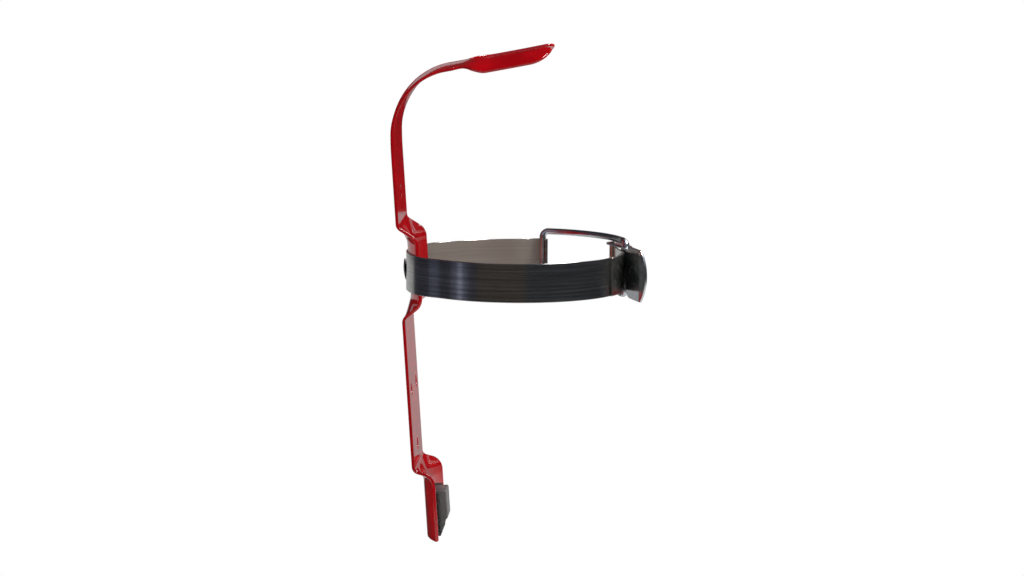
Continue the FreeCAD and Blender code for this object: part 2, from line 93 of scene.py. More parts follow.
def sheetParts(outline, place, thickness, rounding, arcSteps=4):
    # Closed sheet with rounded edges. outline(inset) gives its flat pattern, drawn in by inset, as
    # grids of two measures and the quads to leave out; place(a, b, depth) puts a point in space,
    # depth being how far it lies below the front face. The edge is a half-round profile carried
    # round the pattern: as depth grows from 0 to thickness the inset shrinks to 0 and grows again.
    turn = np.linspace(0, pi / 2, arcSteps)
    inset = rounding * (1 - np.sin(turn))
    depth = rounding * (1 - np.cos(turn))
    insets = np.r_[inset, inset[::-1]]
    depths = np.r_[depth, thickness - depth[::-1]]
    quads, start = [], 0
    for a, b, holes in outline(rounding):
        grid = gridQuads(*a.shape, start)
        keep = np.ones(grid.shape[:2], bool)
        for rowLow, rowHigh, colLow, colHigh in holes:
            keep[rowLow:rowHigh, colLow:colHigh] = False
        quads.append(grid[keep])
        start += a.size
    quads = np.concatenate(quads)
    layers, flats = [], []
    for ring, down in zip(insets, depths):
        patches = outline(ring)
        a = np.concatenate([patch[0].ravel() for patch in patches])
        b = np.concatenate([patch[1].ravel() for patch in patches])
        layers.append(place(a, b, np.full(a.shape, down)))
        flats.append(np.stack([a, b], axis=1))
    pick, quads = weld(layers[0], quads)
    layers = [layer[pick] for layer in layers]
    flats = [flat[pick] for flat in flats]
    # every quad runs the same way round in the flat pattern
    corner = flats[0][quads]
    first, second = corner[:, 2] - corner[:, 0], corner[:, 3] - corner[:, 1]
    turned = first[:, 0] * second[:, 1] - first[:, 1] * second[:, 0] < 0
    quads[turned] = quads[turned, ::-1]
    front, back = layers[0], layers[-1]
    normal = np.cross(front[quads[:, 1]] - front[quads[:, 0]], front[quads[:, 3]] - front[quads[:, 0]])
    normal += np.cross(front[quads[:, 2]] - front[quads[:, 1]], front[quads[:, 3]] - front[quads[:, 2]])
    if (normal * (front - back)[quads[:, 0]]).sum() < 0:
        quads = quads[:, ::-1]
    edges = np.stack([quads, np.roll(quads, -1, axis=1)], axis=-1).reshape(-1, 2)
    edges = edges[edges[:, 0] != edges[:, 1]]
    code = edges.min(axis=1) * len(front) + edges.max(axis=1)
    _, which, times = np.unique(code, return_inverse=True, return_counts=True)
    rim = edges[times[which.ravel()] == 1]
    loop = np.unique(rim)
    rings = [rim] + [2 * len(front) + k * len(loop) + np.searchsorted(loop, rim)
                     for k in range(len(layers) - 2)] + [rim + len(front)]
    faces = splitFaces(quads) + splitFaces(quads[:, ::-1] + len(front))
    for upper, lower in zip(rings[:-1], rings[1:]):
        faces.append(np.stack([upper[:, 1], upper[:, 0], lower[:, 0], lower[:, 1]], axis=1))
    points = np.concatenate([front, back] + [layer[loop] for layer in layers[1:-1]])
    flat = np.concatenate([flats[0], flats[-1]] + [flat[loop] for flat in flats[1:-1]])
    # the third mark is 0 on the front, -1 on the back and 1 round the rim
    edge = np.r_[np.zeros(len(front)), -np.ones(len(front)), np.ones(len(loop) * (len(layers) - 2))]
    return points, faces, np.column_stack([flat, edge])


def arcPoints(centre, radius, start, end, stepDegrees=0.5):
    # points on an arc from one angle to another
    angle = np.radians(np.linspace(start, end, max(int(abs(end - start) / stepDegrees), 2) + 1))
    return np.stack([centre[0] + radius * np.cos(angle), centre[1] + radius * np.sin(angle)], axis=1)


def curvePoints(start, startPull, endPull, end, count=60):
    # Bezier curve: each point is the four corners weighted by the terms of (t + (1 - t)) cubed
    t = np.linspace(0, 1, count)[:, None]
    return ((1 - t) ** 3 * np.array(start) + 3 * t * (1 - t) ** 2 * np.array(startPull)
            + 3 * t ** 2 * (1 - t) * np.array(endPull) + t ** 3 * np.array(end))


def roundedLine(corners, radius):
    # straight runs joined by arcs that touch both
    corners = [np.array(corner, float) for corner in corners]
    line = [corners[0][None]]
    for before, corner, after in zip(corners[:-2], corners[1:-1], corners[2:]):
        into = (corner - before) / np.linalg.norm(corner - before)
        away = (after - corner) / np.linalg.norm(after - corner)
        turn = atan2(into[0] * away[1] - into[1] * away[0], into @ away)
        side = 1 if turn > 0 else -1
        centre = corner - into * radius * abs(np.tan(turn / 2))
        centre = centre + side * radius * np.array([-into[1], into[0]])
        start = degrees(atan2(-side * into[0], side * into[1]))
        line.append(arcPoints(centre, radius, start, start + degrees(turn), 1.0))
    line.append(corners[-1][None])
    return np.concatenate(line)


class PlanLine:
    # a plan line read by its length: where it is, and which way lies to its right
    def __init__(self, points):
        step = np.hypot(*np.diff(points, axis=0).T)
        keep = np.r_[True, step > 1e-6]
        points = points[keep]
        run = np.diff(points, axis=0)
        self.points = points
        self.length = np.r_[0, np.cumsum(np.hypot(*run.T))]
        middle = (self.length[1:] + self.length[:-1]) / 2
        heading = np.unwrap(np.arctan2(run[:, 1], run[:, 0]))
        self.heading = np.interp(self.length, middle, heading)
        self.end = self.length[-1]

    def at(self, along):
        # plan point and the unit vector to the right of the way
        heading = np.interp(along, self.length, self.heading)
        x = np.interp(along, self.length, self.points[:, 0])
        y = np.interp(along, self.length, self.points[:, 1])
        return x, y, np.sin(heading), -np.cos(heading)

    def rows(self, step, turnStep):
        # places along the line, closer where it bends
        turned = np.r_[0, np.cumsum(np.abs(np.diff(self.heading)))]
        measure = self.length / step + np.degrees(turned) / turnStep
        return np.interp(np.linspace(0, measure[-1], int(ceil(measure[-1])) + 1), measure, self.length)


def bandOutline(rows, halfHeight, margin):
    # flat pattern of a band of even height: rows along it, and columns closer at its edges
    share = np.r_[-1, -0.97, np.linspace(-0.9, 0.9, 12), 0.97, 1]
    spread = (rows - rows[0]) / (rows[-1] - rows[0])
    spread = np.sort(np.r_[spread, margin / rows[-1], 1 - margin / rows[-1]])

    def outline(inset):
        along = rows[0] + inset + spread * (rows[-1] - rows[0] - 2 * inset)
        height = share * (halfHeight - inset)
        return [(*np.meshgrid(along, height, indexing="ij"), [])]
    return outline


def latheParts(profile, place, count=48):
    # surface of revolution: a profile of radii and heights turned about its axis, closed at the poles
    angle = np.linspace(0, 2 * pi, count + 1)
    radius, height = np.array(profile, float).T
    grid = place(radius[:, None] * np.cos(angle), radius[:, None] * np.sin(angle),
                 np.repeat(height[:, None], count + 1, axis=1))
    points = grid.reshape(-1, 3)
    pick, quads = weld(points, gridQuads(len(radius), count + 1).reshape(-1, 4))
    flat = np.column_stack([np.repeat(radius, count + 1), np.tile(angle, len(radius)),
                            np.zeros(radius.size * (count + 1))])
    return points[pick], splitFaces(quads), flat[pick]


def outward(parts):
    # turns the faces round if the closed shape they make has a negative volume
    points, faces, marks = parts
    volume = sum(np.einsum("ij,ij->", points[block[:, 0]],
                           sum(np.cross(points[block[:, k]], points[block[:, k + 1]])
                               for k in range(1, block.shape[1] - 1))) for block in faces if len(block))
    return (points, [block[:, ::-1] for block in faces], marks) if volume < 0 else parts


def smooth(share):
    # ease from 0 to 1
    share = np.clip(share, 0, 1)
    return share * share * (3 - 2 * share)


def halfChord(radius, away):
    # half the chord of a circle at a distance from its centre, and 0 outside it
    return np.sqrt(np.clip(radius ** 2 - away ** 2, 0, None))


def waves(x, y, z, size, seed):
    # sum of sines in mixed directions: an uneven surface with bumps of about the given size
    random = np.random.default_rng(seed)
    total = np.zeros(np.shape(x))
    for k in range(14):
        way = random.normal(size=3)
        way *= 2 * pi / (size * random.uniform(0.6, 1.7) * np.linalg.norm(way))
        total = total + np.sin(way[0] * x + way[1] * y + way[2] * z + random.uniform(0, 2 * pi))
    return total / 14 ** 0.5


# Painted strip

strip = {
    "width": 52.0, "sheet": 1.6, "edgeRadius": 0.42,
    "footBottom": -79.6, "footJoggleTop": -39.5, "footJoggleHeight": 10.5, "footCorner": 1.5,
    "seatJoggleLow": 36.4, "seatJoggleHeight": 12.0, "seatHeight": 27.0, "bendStart": 133.3,
    "crease": 2.5, "shoulder": 7.5,
    "troughRadius": 55.5, "seatDepth": 3.3, "footDepth": 3.7,
    "bendRadius": 32.7, "bendAngle": 83.2, "tongue": 55.6, "armLead": 12.0,
    "armArch": 1.35, "armArchFrom": -10.0, "armArchOver": 31.0,
    "archRadius": 49.5, "archFrom": 7.4, "archOver": 13.0, "curl": 0.4, "curlFrom": 25.0,
    "slotWidth": 26.0, "slotFrom": 11.5, "tineOuter": 12.0, "tineInner": 5.0,
    "waistDepth": 1.6, "waistRadius": 7.0, "waistFrom": 8.5,
    "holes": [(-14.0, 0.0), (14.0, 0.0), (0.0, -31.0), (0.0, 102.0)], "holeRadius": 3.25, "holeWindow": 5,
}
halfWidth = strip["width"] / 2
frontPlane = -strip["sheet"]
seatLow = strip["seatJoggleLow"] + strip["seatJoggleHeight"]
seatHigh = seatLow + strip["seatHeight"]
seatJoggleHigh = seatHigh + strip["seatJoggleHeight"]
footLow = strip["footJoggleTop"] - strip["footJoggleHeight"]
bendLength = radians(strip["bendAngle"]) * strip["bendRadius"]
topLength = strip["armLead"] + bendLength + strip["tongue"]
wallEnd = strip["bendStart"] - strip["armLead"]


def troughForward(x, depth):
    # depth plus how far a circle of the trough's radius has risen at x
    return depth + strip["troughRadius"] - np.sqrt(strip["troughRadius"] ** 2 - x ** 2)


def joggle(forward, height, share):
    # a bend, a straight and a counter-bend that step forward while they rise, share of the way along
    crease, shoulder = strip["crease"], strip["shoulder"]
    share = np.clip(share, 0, 1)
    bends = crease + shoulder
    straight = np.sqrt((forward - bends) ** 2 + height ** 2 - bends ** 2)
    slope = np.arctan2(bends * height + straight * (forward - bends),
                       straight * height - bends * (forward - bends))
    along = share * (bends * slope + straight)
    turn = np.clip(along / crease, 0, slope)
    run = np.clip(along - crease * slope, 0, straight)
    back = slope - np.clip(along - crease * slope - straight, 0, None) / shoulder
    early = along <= crease * slope + straight
    out = np.where(early, crease * (1 - np.cos(turn)) + run * np.sin(slope),
                   forward - shoulder * (1 - np.cos(back)))
    up = np.where(early, crease * np.sin(turn) + run * np.cos(slope), height - shoulder * np.sin(back))
    return out, up


def topOfStrip(x, along):
    # the bend, then the tongue; the arm is arched a little over its whole width, the tongue to a circle
    # that meets its straight line at the slot's sides, and the tips curl back up
    level = sqrt(strip["archRadius"] ** 2 - (strip["slotWidth"] / 2) ** 2)
    full = level - np.sqrt(strip["archRadius"] ** 2 - x ** 2)
    grown = smooth((along - bendLength - strip["archFrom"]) / strip["archOver"])
    armGrown = smooth((along - strip["armArchFrom"]) / strip["armArchOver"])
    arm = strip["armArch"] * (x / halfWidth) ** 2 * armGrown
    curl = np.clip(along - bendLength - strip["curlFrom"], 0, None) / (strip["tongue"] - strip["curlFrom"])
    drop = full * grown + arm * (1 - grown) - strip["curl"] * curl ** 2
    turn = np.clip(along / strip["bendRadius"], 0, radians(strip["bendAngle"]))
    run = np.maximum(along - bendLength, 0)
    out = strip["bendRadius"] * (1 - np.cos(turn)) + run * np.sin(turn) + drop * np.cos(turn)
    up = (np.minimum(along, 0) + strip["bendRadius"] * np.sin(turn) + run * np.cos(turn)
          - drop * np.sin(turn))
    return out, strip["bendStart"] + up


def stripFront(x, u):
    # front face of the strip: u counts its eight stretches from the foot's lower edge to the tines
    foot = troughForward(x, strip["footDepth"])
    seat = troughForward(x, strip["seatDepth"])
    footOut, footUp = joggle(foot, strip["footJoggleHeight"], 2 - u)
    lowOut, lowUp = joggle(seat, strip["seatJoggleHeight"], u - 3)
    highOut, highUp = joggle(seat, strip["seatJoggleHeight"], 6 - u)
    topOut, topUp = topOfStrip(x, (u - 7) * topLength - strip["armLead"])
    flat = np.zeros(np.shape(x))
    stretch = [u < 1, u < 2, u < 3, u < 4, u < 5, u < 6, u < 7]
    out = np.select(stretch, [foot, footOut, flat, lowOut, seat, highOut, flat], topOut)
    up = np.select(stretch, [
        strip["footBottom"] + u * (footLow - strip["footBottom"]), strip["footJoggleTop"] - footUp,
        strip["footJoggleTop"] + (u - 2) * (strip["seatJoggleLow"] - strip["footJoggleTop"]),
        strip["seatJoggleLow"] + lowUp, seatLow + (u - 4) * strip["seatHeight"], seatJoggleHigh - highUp,
        seatJoggleHigh + (u - 6) * (wallEnd - seatJoggleHigh)], topUp)
    return np.stack([x, frontPlane - out, up], axis=-1)


def stripPlace(x, u, depth):
    # the front face, moved back along its own normal
    step = 1e-4
    wayUp = stripFront(x, u + step) - stripFront(x, u - step)
    wayAcross = stripFront(x + step, u) - stripFront(x - step, u)
    inward = np.cross(wayUp, wayAcross)
    inward /= np.linalg.norm(inward, axis=-1, keepdims=True)
    return stripFront(x, u) + inward * depth[..., None]


def stripOutline(inset):
    # Flat pattern. One grid runs from the foot to the root of the slot, and one grid fills each tine:
    # its two sides are the strip's edge and the slot's, both read off circles where they are round.
    half = halfWidth - inset
    # the columns stand closer at the middle line and the edges, where the sheet is split and rounded
    share = np.r_[0, 0.01, 0.024, np.linspace(1, 25, 25) / 26, 0.985, 1]
    turn = np.linspace(0, pi / 2, 9)
    corner = strip["footCorner"]
    cornerUp = corner - (corner - inset) * np.cos(turn)
    cornerHalf = halfWidth - corner + (corner - inset) * np.sin(turn)
    footRun = footLow - strip["footBottom"]
    lowerRun = strip["seatJoggleLow"] - strip["footJoggleTop"]
    upperRun = wallEnd - seatJoggleHigh
    tongueStart = strip["armLead"] + bendLength
    slotHalf = strip["slotWidth"] / 2
    slotCentre = strip["slotFrom"] + slotHalf
    slotRadius = slotHalf + inset
    slotRoot = slotCentre - slotRadius
    notchAcross = halfWidth + strip["waistRadius"] - strip["waistDepth"]
    notchRadius = strip["waistRadius"] + inset
    notchHalf = sqrt(notchRadius ** 2 - (notchAcross - half) ** 2)
    notchLow = strip["waistFrom"] - notchHalf
    notchHigh = strip["waistFrom"] + notchHalf
    notchTurn = np.linspace(-asin(notchHalf / notchRadius),
                            asin((slotRoot - strip["waistFrom"]) / notchRadius), 16)
    tongueRows = np.r_[np.linspace(0, notchLow, 5)[1:-1],
                       strip["waistFrom"] + notchRadius * np.sin(notchTurn)]
    main = np.r_[
        cornerUp / footRun, np.linspace(corner / footRun, 1, 15)[1:], 1 + np.linspace(0, 1, 27)[1:],
        2 + np.linspace(0, 1, int(lowerRun) + 1)[1:], 3 + np.linspace(0, 1, 27)[1:],
        4 + np.linspace(0, 1, 15)[1:], 5 + np.linspace(0, 1, 27)[1:],
        6 + np.linspace(0, 1, int(upperRun) + 1)[1:], 7 + np.linspace(0, tongueStart / topLength, 61)[1:],
        7 + (tongueStart + tongueRows) / topLength]

    def outerEdge(along):
        # half width on the tongue: the strip's own, less the waist's notch and the tip's rounding
        tipStart = strip["tongue"] - strip["tineOuter"]
        tipRound = strip["tineOuter"] - inset
        notch = notchAcross - halfChord(notchRadius, along - strip["waistFrom"])
        tip = halfWidth - strip["tineOuter"] + halfChord(tipRound, along - tipStart)
        inNotch = (along > notchLow) & (along < notchHigh)
        return np.select([inNotch, along > tipStart], [notch, tip], half)

    def innerEdge(along):
        # half width of the slot: a half circle at its root, and the round of the tine's inner corner
        tipStart = strip["tongue"] - strip["tineInner"]
        tipRound = strip["tineInner"] - inset
        root = halfChord(slotRadius, slotCentre - along)
        tip = slotHalf + strip["tineInner"] - halfChord(tipRound, along - tipStart)
        return np.select([along < slotCentre, along > tipStart], [root, tip], slotRadius)

    onTongue = (main - 7) * topLength - tongueStart
    across = np.where(onTongue > 0, outerEdge(onTongue), half)
    across[:len(cornerHalf)] = cornerHalf
    both = np.r_[-share[:0:-1], share]
    x = across[:, None] * both

    # the tine's point is where its two rounded corners meet
    outerRound, innerRound = strip["tineOuter"] - inset, strip["tineInner"] - inset
    gapAcross = slotHalf + strip["tineInner"] - halfWidth + strip["tineOuter"]
    gapAlong = strip["tineOuter"] - strip["tineInner"]
    gap = hypot(gapAcross, gapAlong)
    chordAway = (outerRound ** 2 - innerRound ** 2 + gap ** 2) / (2 * gap)
    rise = sqrt(outerRound ** 2 - chordAway ** 2)
    tipTurn = asin((chordAway * gapAlong + rise * gapAcross) / gap / outerRound)
    rootTurn = np.arccos((slotCentre - notchHigh) / slotRadius)
    rootTurns = np.r_[np.linspace(0, rootTurn, 9), np.linspace(rootTurn, pi / 2, 20)[1:]]
    tipTurns = np.linspace(0, tipTurn, 30)[1:]
    tipFrom = strip["tongue"] - strip["tineOuter"]
    rows = np.r_[slotCentre - slotRadius * np.cos(rootTurns), np.linspace(slotCentre, tipFrom, 18)[1:],
                 tipFrom + outerRound * np.sin(tipTurns)]
    outer, inner = outerEdge(rows), innerEdge(rows)
    inner[0] = 0
    outer[-1] = inner[-1] = (outer[-1] + inner[-1]) / 2
    tine = inner[:, None] + share * (outer - inner)[:, None]
    tineU = np.repeat((7 + (tongueStart + rows) / topLength)[:, None], len(share), axis=1)

    # round each screw hole the grid's window is filled by rings that pass from a square to a circle
    windows, patches = [], []
    lowerWall, upperWall = (strip["footJoggleTop"], strip["seatJoggleLow"], 2), (seatJoggleHigh, wallEnd, 6)
    for holeX, holeZ in strip["holes"]:
        low, high, firstU = lowerWall if holeZ < seatLow else upperWall
        holeU = firstU + (holeZ - low) / (high - low)
        row = np.abs(main - holeU).argmin()
        column = np.abs(both * halfWidth - holeX).argmin()
        # the columns stand closer on the middle line
        reach = strip["holeWindow"] + (2 if holeX == 0 else 0)
        rowLow, rowHigh = row - strip["holeWindow"], row + strip["holeWindow"]
        colLow, colHigh = column - reach, column + reach
        windows.append((rowLow, rowHigh, colLow, colHigh))
        squareX = np.r_[x[rowLow, colLow:colHigh], x[rowLow:rowHigh, colHigh],
                        x[rowHigh, colHigh:colLow:-1], x[rowHigh:rowLow:-1, colLow], x[rowLow, colLow]]
        squareU = np.r_[main[[rowLow] * (colHigh - colLow)], main[rowLow:rowHigh],
                        main[[rowHigh] * (colHigh - colLow)], main[rowHigh:rowLow:-1], main[rowLow]]
        squareZ = (squareU - holeU) * (high - low)
        size = np.hypot(squareX - holeX, squareZ)
        circle = (strip["holeRadius"] + inset) / size
        fill = np.r_[0, 0.06, 0.2, 0.45, 0.72, 1][:, None]
        scale = circle + fill * (1 - circle)
        patches.append((holeX + scale * (squareX - holeX), holeU + scale * (squareU - holeU), []))
    body = (x, np.repeat(main[:, None], len(both), axis=1), windows)
    return [body, (-tine, tineU, []), (tine, tineU, [])] + patches


backPlate = addMesh("painted_strip", *sheetParts(
    stripOutline, stripPlace, strip["sheet"], strip["edgeRadius"]))
print("strip:", len(backPlate.data.polygons), "faces")


# Spring strap, in the hoop's own frame about the cylinder's axis

strap = {
    "radius": 54.0, "sheet": 0.8, "height": 20.0, "edgeRadius": 0.22, "endMargin": 0.4,
    "droop": 3.85, "up": 61.3, "endAngle": -91.0,
    "slack": 0.74, "stepSpan": 31.0, "stepRun": 19.0, "stepSlack": 0.07, "stepPull": 0.38,
    "hookFrom": 6.0, "hookAngle": -11.0, "hookStand": 2.2, "hookClearance": 0.3, "hookWrap": 135.0,
}
wireRadius = 1.7
halfStrap = strap["height"] / 2
seatBack = frontPlane - strip["seatDepth"] + strip["sheet"]
rearRadius = strap["radius"] + 2 * strap["slack"] + strip["sheet"] + strap["stepSlack"]
tip = radians(strap["droop"])
hoopCentre = np.array([
    0, seatBack + strap["slack"] - rearRadius * cos(tip), strap["up"] - rearRadius * sin(tip)])


def hung(x, y, z):
    # from the hoop's frame to the bracket's: tipped about X, then moved to its centre
    x, y, z = np.broadcast_arrays(x, y, z)
    turned = np.stack([x, y * cos(tip) - z * sin(tip), y * sin(tip) + z * cos(tip)], axis=-1)
    return turned + hoopCentre


def polar(radius, angle, centre=(0.0, 0.0)):
    return np.array([centre[0] + radius * cos(radians(angle)), centre[1] + radius * sin(radians(angle))])


def ogee(radiusA, angleA, radiusB, angleB):
    # smooth step between two circles, square to both radii
    start, end = polar(radiusA, angleA), polar(radiusB, angleB)
    quarter = 90 if angleB > angleA else -90
    pull = np.linalg.norm(end - start) * strap["stepPull"]
    startPull, endPull = polar(pull, angleA + quarter), polar(pull, angleB + quarter)
    return curvePoints(start, start + startPull, end - endPull, end)


def alongPlan(line, middle=0.0):
    # placing rule of a band that follows a plan line, its depth counted to the right of the way
    def place(along, height, depth):
        x, y, rightX, rightY = line.at(along)
        return hung(x + (depth - middle) * rightX, y + (depth - middle) * rightY, height)
    return place


ringOuter = strap["radius"] + strap["sheet"]
rearOuter = rearRadius + strap["sheet"]
hookInner = wireRadius + strap["hookClearance"]
hookOuter = hookInner + strap["sheet"]
hookStand = strap["radius"] + strap["hookStand"]
hookCentre = polar(hookStand, strap["hookAngle"])
rearLow, rearHigh = 90 - strap["stepSpan"], 90 + strap["stepSpan"]
strapLine = PlanLine(np.concatenate([
    arcPoints((0, 0), ringOuter, 360 + strap["endAngle"], rearHigh + strap["stepRun"]),
    ogee(ringOuter, rearHigh + strap["stepRun"], rearOuter, rearHigh),
    arcPoints((0, 0), rearOuter, rearHigh, rearLow),
    ogee(rearOuter, rearLow, ringOuter, rearLow - strap["stepRun"]),
    arcPoints((0, 0), ringOuter, rearLow - strap["stepRun"], strap["hookFrom"]),
    ogee(ringOuter, strap["hookFrom"], hookStand + hookOuter, strap["hookAngle"]),
    arcPoints(hookCentre, hookOuter, strap["hookAngle"], strap["hookAngle"] - strap["hookWrap"], 2)]))
hoopStrap = addMesh("hoop_strap", *sheetParts(
    bandOutline(strapLine.rows(3.0, 3.0), halfStrap, strap["endMargin"]), alongPlan(strapLine),
    strap["sheet"], strap["edgeRadius"]))
print("strap:", len(hoopStrap.data.polygons), "faces")


# Rivet that holds the strap to the seat

rivet = {"shank": 2.5, "head": 5.6, "headHeight": 1.1, "headLip": 0.28, "tail": 4.2, "tailHeight": 0.5,
         "seatGap": 0.03}
tailFace = frontPlane - strip["seatDepth"]
headFace = seatBack + strap["slack"] + strap["sheet"] + rivet["head"] * np.tan(tip) + rivet["seatGap"]
domeRise = rivet["headHeight"] - rivet["headLip"]
dome = (rivet["head"] ** 2 + domeRise ** 2) / (2 * domeRise)
domeTurns = np.linspace(asin(rivet["head"] / dome), 0, 14)
# profiles are radii and heights; the tail's is dished in the middle
headProfile = [(0, 0), (rivet["head"] - 0.15, 0), (rivet["head"], 0.12), (rivet["head"], rivet["headLip"])]
headProfile += [(dome * sin(turn), rivet["headHeight"] - dome * (1 - cos(turn))) for turn in domeTurns[1:]]
tailProfile = [(0, 0), (rivet["tail"] - 0.2, 0), (rivet["tail"], 0.15), (rivet["tail"] - 0.05, 0.35),
               (rivet["tail"] - 0.5, rivet["tailHeight"]), (1.6, rivet["tailHeight"]), (1.2, 0.32),
               (0, 0.25)]
shankLength = headFace - tailFace
shankProfile = [(0, 0), (rivet["shank"], 0), (rivet["shank"], shankLength), (0, shankLength)]


def rivetPart(profile, face, side):
    # a turned part of the rivet, its heights counted from a face to one side
    def place(across, up, height):
        return np.stack([across, face + side * height, strap["up"] + up], axis=-1)
    return outward(latheParts(profile, place))


bandRivet = addMesh("seat_rivet", *joinParts([
    rivetPart(headProfile, headFace, 1), rivetPart(tailProfile, tailFace, -1),
    rivetPart(shankProfile, tailFace, 1)]))
print("rivet:", len(bandRivet.data.polygons), "faces")


# Latch base: a plate on the strap's near end, rolled round the hinge pin

base = {"sheet": 1.0, "edgeRadius": 0.25, "endMargin": 0.4, "startAngle": -116.0, "bendAngle": -88.0,
        "lap": 0.05, "rollFrom": 4.6, "rollPull": 1.7, "rollTurn": 292.0, "rollGrip": 0.05}
latch = {"hingeAngle": -57.76, "hingeStand": 4.29, "bailAngle": -75.61, "bailStand": 4.49,
         "heelAngle": -89.0, "heelStand": 3.2, "flare": 21.9, "flareAngle": 199.2,
         "lip": 5.5, "lipAngle": 218.3}
pin = {"radius": 1.1, "clearance": 0.05, "headRadius": 1.9, "headHeight": 0.5}
hingeAt = polar(strap["radius"] + latch["hingeStand"], latch["hingeAngle"])
bailAt = polar(strap["radius"] + latch["bailStand"], latch["bailAngle"])
heelAt = polar(strap["radius"] + latch["heelStand"], latch["heelAngle"])
flareEnd = heelAt + polar(latch["flare"], latch["flareAngle"])
lipEnd = flareEnd + polar(latch["lip"], latch["lipAngle"])
baseMiddle = ringOuter + base["lap"] + base["sheet"] / 2
baseBend = polar(baseMiddle, base["bendAngle"])
plateWay = (hingeAt - baseBend) / np.linalg.norm(hingeAt - baseBend)
plateOut = np.array([plateWay[1], -plateWay[0]])
rollMiddle = pin["radius"] + pin["clearance"] + base["sheet"] / 2 - base["rollGrip"]
rollStart = hingeAt - plateWay * base["rollFrom"]
rollTop = hingeAt + plateOut * rollMiddle
rollAngle = degrees(atan2(plateOut[1], plateOut[0]))
rollPull = plateWay * base["rollPull"]
baseLine = PlanLine(np.concatenate([
    arcPoints((0, 0), baseMiddle, base["startAngle"], base["bendAngle"]),
    curvePoints(rollStart, rollStart + rollPull, rollTop - rollPull, rollTop, 30),
    arcPoints(hingeAt, rollMiddle, rollAngle, rollAngle + base["rollTurn"], 3)]))
latchBase = addMesh("latch_base_plate", *sheetParts(
    bandOutline(baseLine.rows(2.5, 6.0), halfStrap, base["endMargin"]),
    alongPlan(baseLine, base["sheet"] / 2), base["sheet"], base["edgeRadius"]))
print("latch base:", len(latchBase.data.polygons), "faces")


# Lever: a flared thumb plate rolled round the wire's foot, and two ears that reach the hinge

lever = {"sheet": 1.2, "edgeRadius": 0.3, "earGap": 0.35, "earWindow": 0.3, "earRound": 3.7, "height": 27.0,
         "endRise": 4.7, "saddleClearance": 0.1, "saddleWrap": 205.0, "bendRadius": 2.6, "flareRun": 5.0}
earInner = halfStrap + lever["earGap"]
earOuter = earInner + lever["sheet"]
saddleMiddle = wireRadius + lever["saddleClearance"] + lever["sheet"] / 2
saddleOuter = saddleMiddle + lever["sheet"] / 2
toHeel = heelAt - bailAt
heelHeading = degrees(atan2(toHeel[1], toHeel[0]))
saddleStart = heelHeading + 90 - degrees(asin(saddleMiddle / np.linalg.norm(toHeel)))
saddleTouch = polar(saddleMiddle, saddleStart, bailAt)
leverLine = PlanLine(np.concatenate([
    arcPoints(bailAt, saddleMiddle, saddleStart - lever["saddleWrap"], saddleStart, 2),
    roundedLine([saddleTouch, heelAt, flareEnd, lipEnd], lever["bendRadius"])]))
heelLength = radians(lever["saddleWrap"]) * saddleMiddle + np.linalg.norm(heelAt - saddleTouch)
endRadius = (lever["height"] ** 2 / 4 + lever["endRise"] ** 2) / (2 * lever["endRise"])


def leverOutline(inset):
    # half height along the line: the ears' width at the saddle, eased out to the flare's behind the
    # heel, and at the free end the half chord of a circle
    wide = lever["height"] / 2 - inset
    endTurn = asin(wide / (endRadius - inset))
    roundFrom = leverLine.end - endRadius + (endRadius - inset) * cos(endTurn)
    rows = leverLine.rows(1.6, 5.0)
    rows = rows[rows < leverLine.end - lever["endRise"]]
    spread = np.sort(np.r_[0.2, rows] / leverLine.end)
    spread = spread / spread[-1]
    body = inset + spread * (roundFrom - inset)
    last = leverLine.end - endRadius + (endRadius - inset) * np.cos(np.linspace(endTurn, 0, 22)[1:])
    along = np.r_[body, last]
    flared = smooth((along - heelLength) / lever["flareRun"])
    half = earOuter - inset + (lever["height"] / 2 - earOuter) * flared
    chord = halfChord(endRadius - inset, along - leverLine.end + endRadius)
    half = np.where(along > roundFrom, chord, half)
    half[-1] = 0
    share = np.r_[-1, -0.975, np.linspace(-0.93, 0.93, 17), 0.975, 1]
    return [(np.repeat(along[:, None], len(share), axis=1), half[:, None] * share, [])]


def capsule(start, startRadius, end, endRadius):
    # outline of two circles and their outer tangents
    way = end - start
    lean = degrees(asin((startRadius - endRadius) / np.linalg.norm(way)))
    heading = degrees(atan2(way[1], way[0]))
    return np.concatenate([arcPoints(end, endRadius, heading - 90 + lean, heading + 90 - lean, 2),
                           arcPoints(start, startRadius, heading + 90 - lean, heading + 270 + lean, 2)])


earArms = [(hingeAt, lever["earRound"]), (heelAt, lever["sheet"] / 2)]


def earReach(inset, angle):
    # how far the ear reaches from the wire's hole in each direction: the further of its two arms
    reach = np.zeros(angle.shape)
    for end, radius in earArms:
        line = capsule(bailAt, saddleOuter - inset, end, radius - inset) - bailAt
        line = np.concatenate([line, line[:1]])
        fine = np.linspace(0, len(line) - 1, 6000)
        line = np.stack([np.interp(fine, np.arange(len(line)), line[:, k]) for k in (0, 1)], axis=1)
        turn = np.arctan2(line[:, 1], line[:, 0])
        order = np.argsort(turn)
        reach = np.maximum(reach, np.interp(angle, turn[order], np.hypot(*line.T)[order], period=2 * pi))
    return reach


def earAngles():
    # directions from the wire's hole that follow the ear's outline closely
    turns = [np.linspace(-pi, pi, 73)[:-1]]
    for end, radius in earArms:
        line = capsule(bailAt, saddleOuter, end, radius) - bailAt
        turns.append(np.arctan2(line[:, 1], line[:, 0])[::3])
    angle = np.unique(np.round(np.concatenate(turns), 3))
    return np.r_[angle, angle[0] + 2 * pi]


earTurns = earAngles()


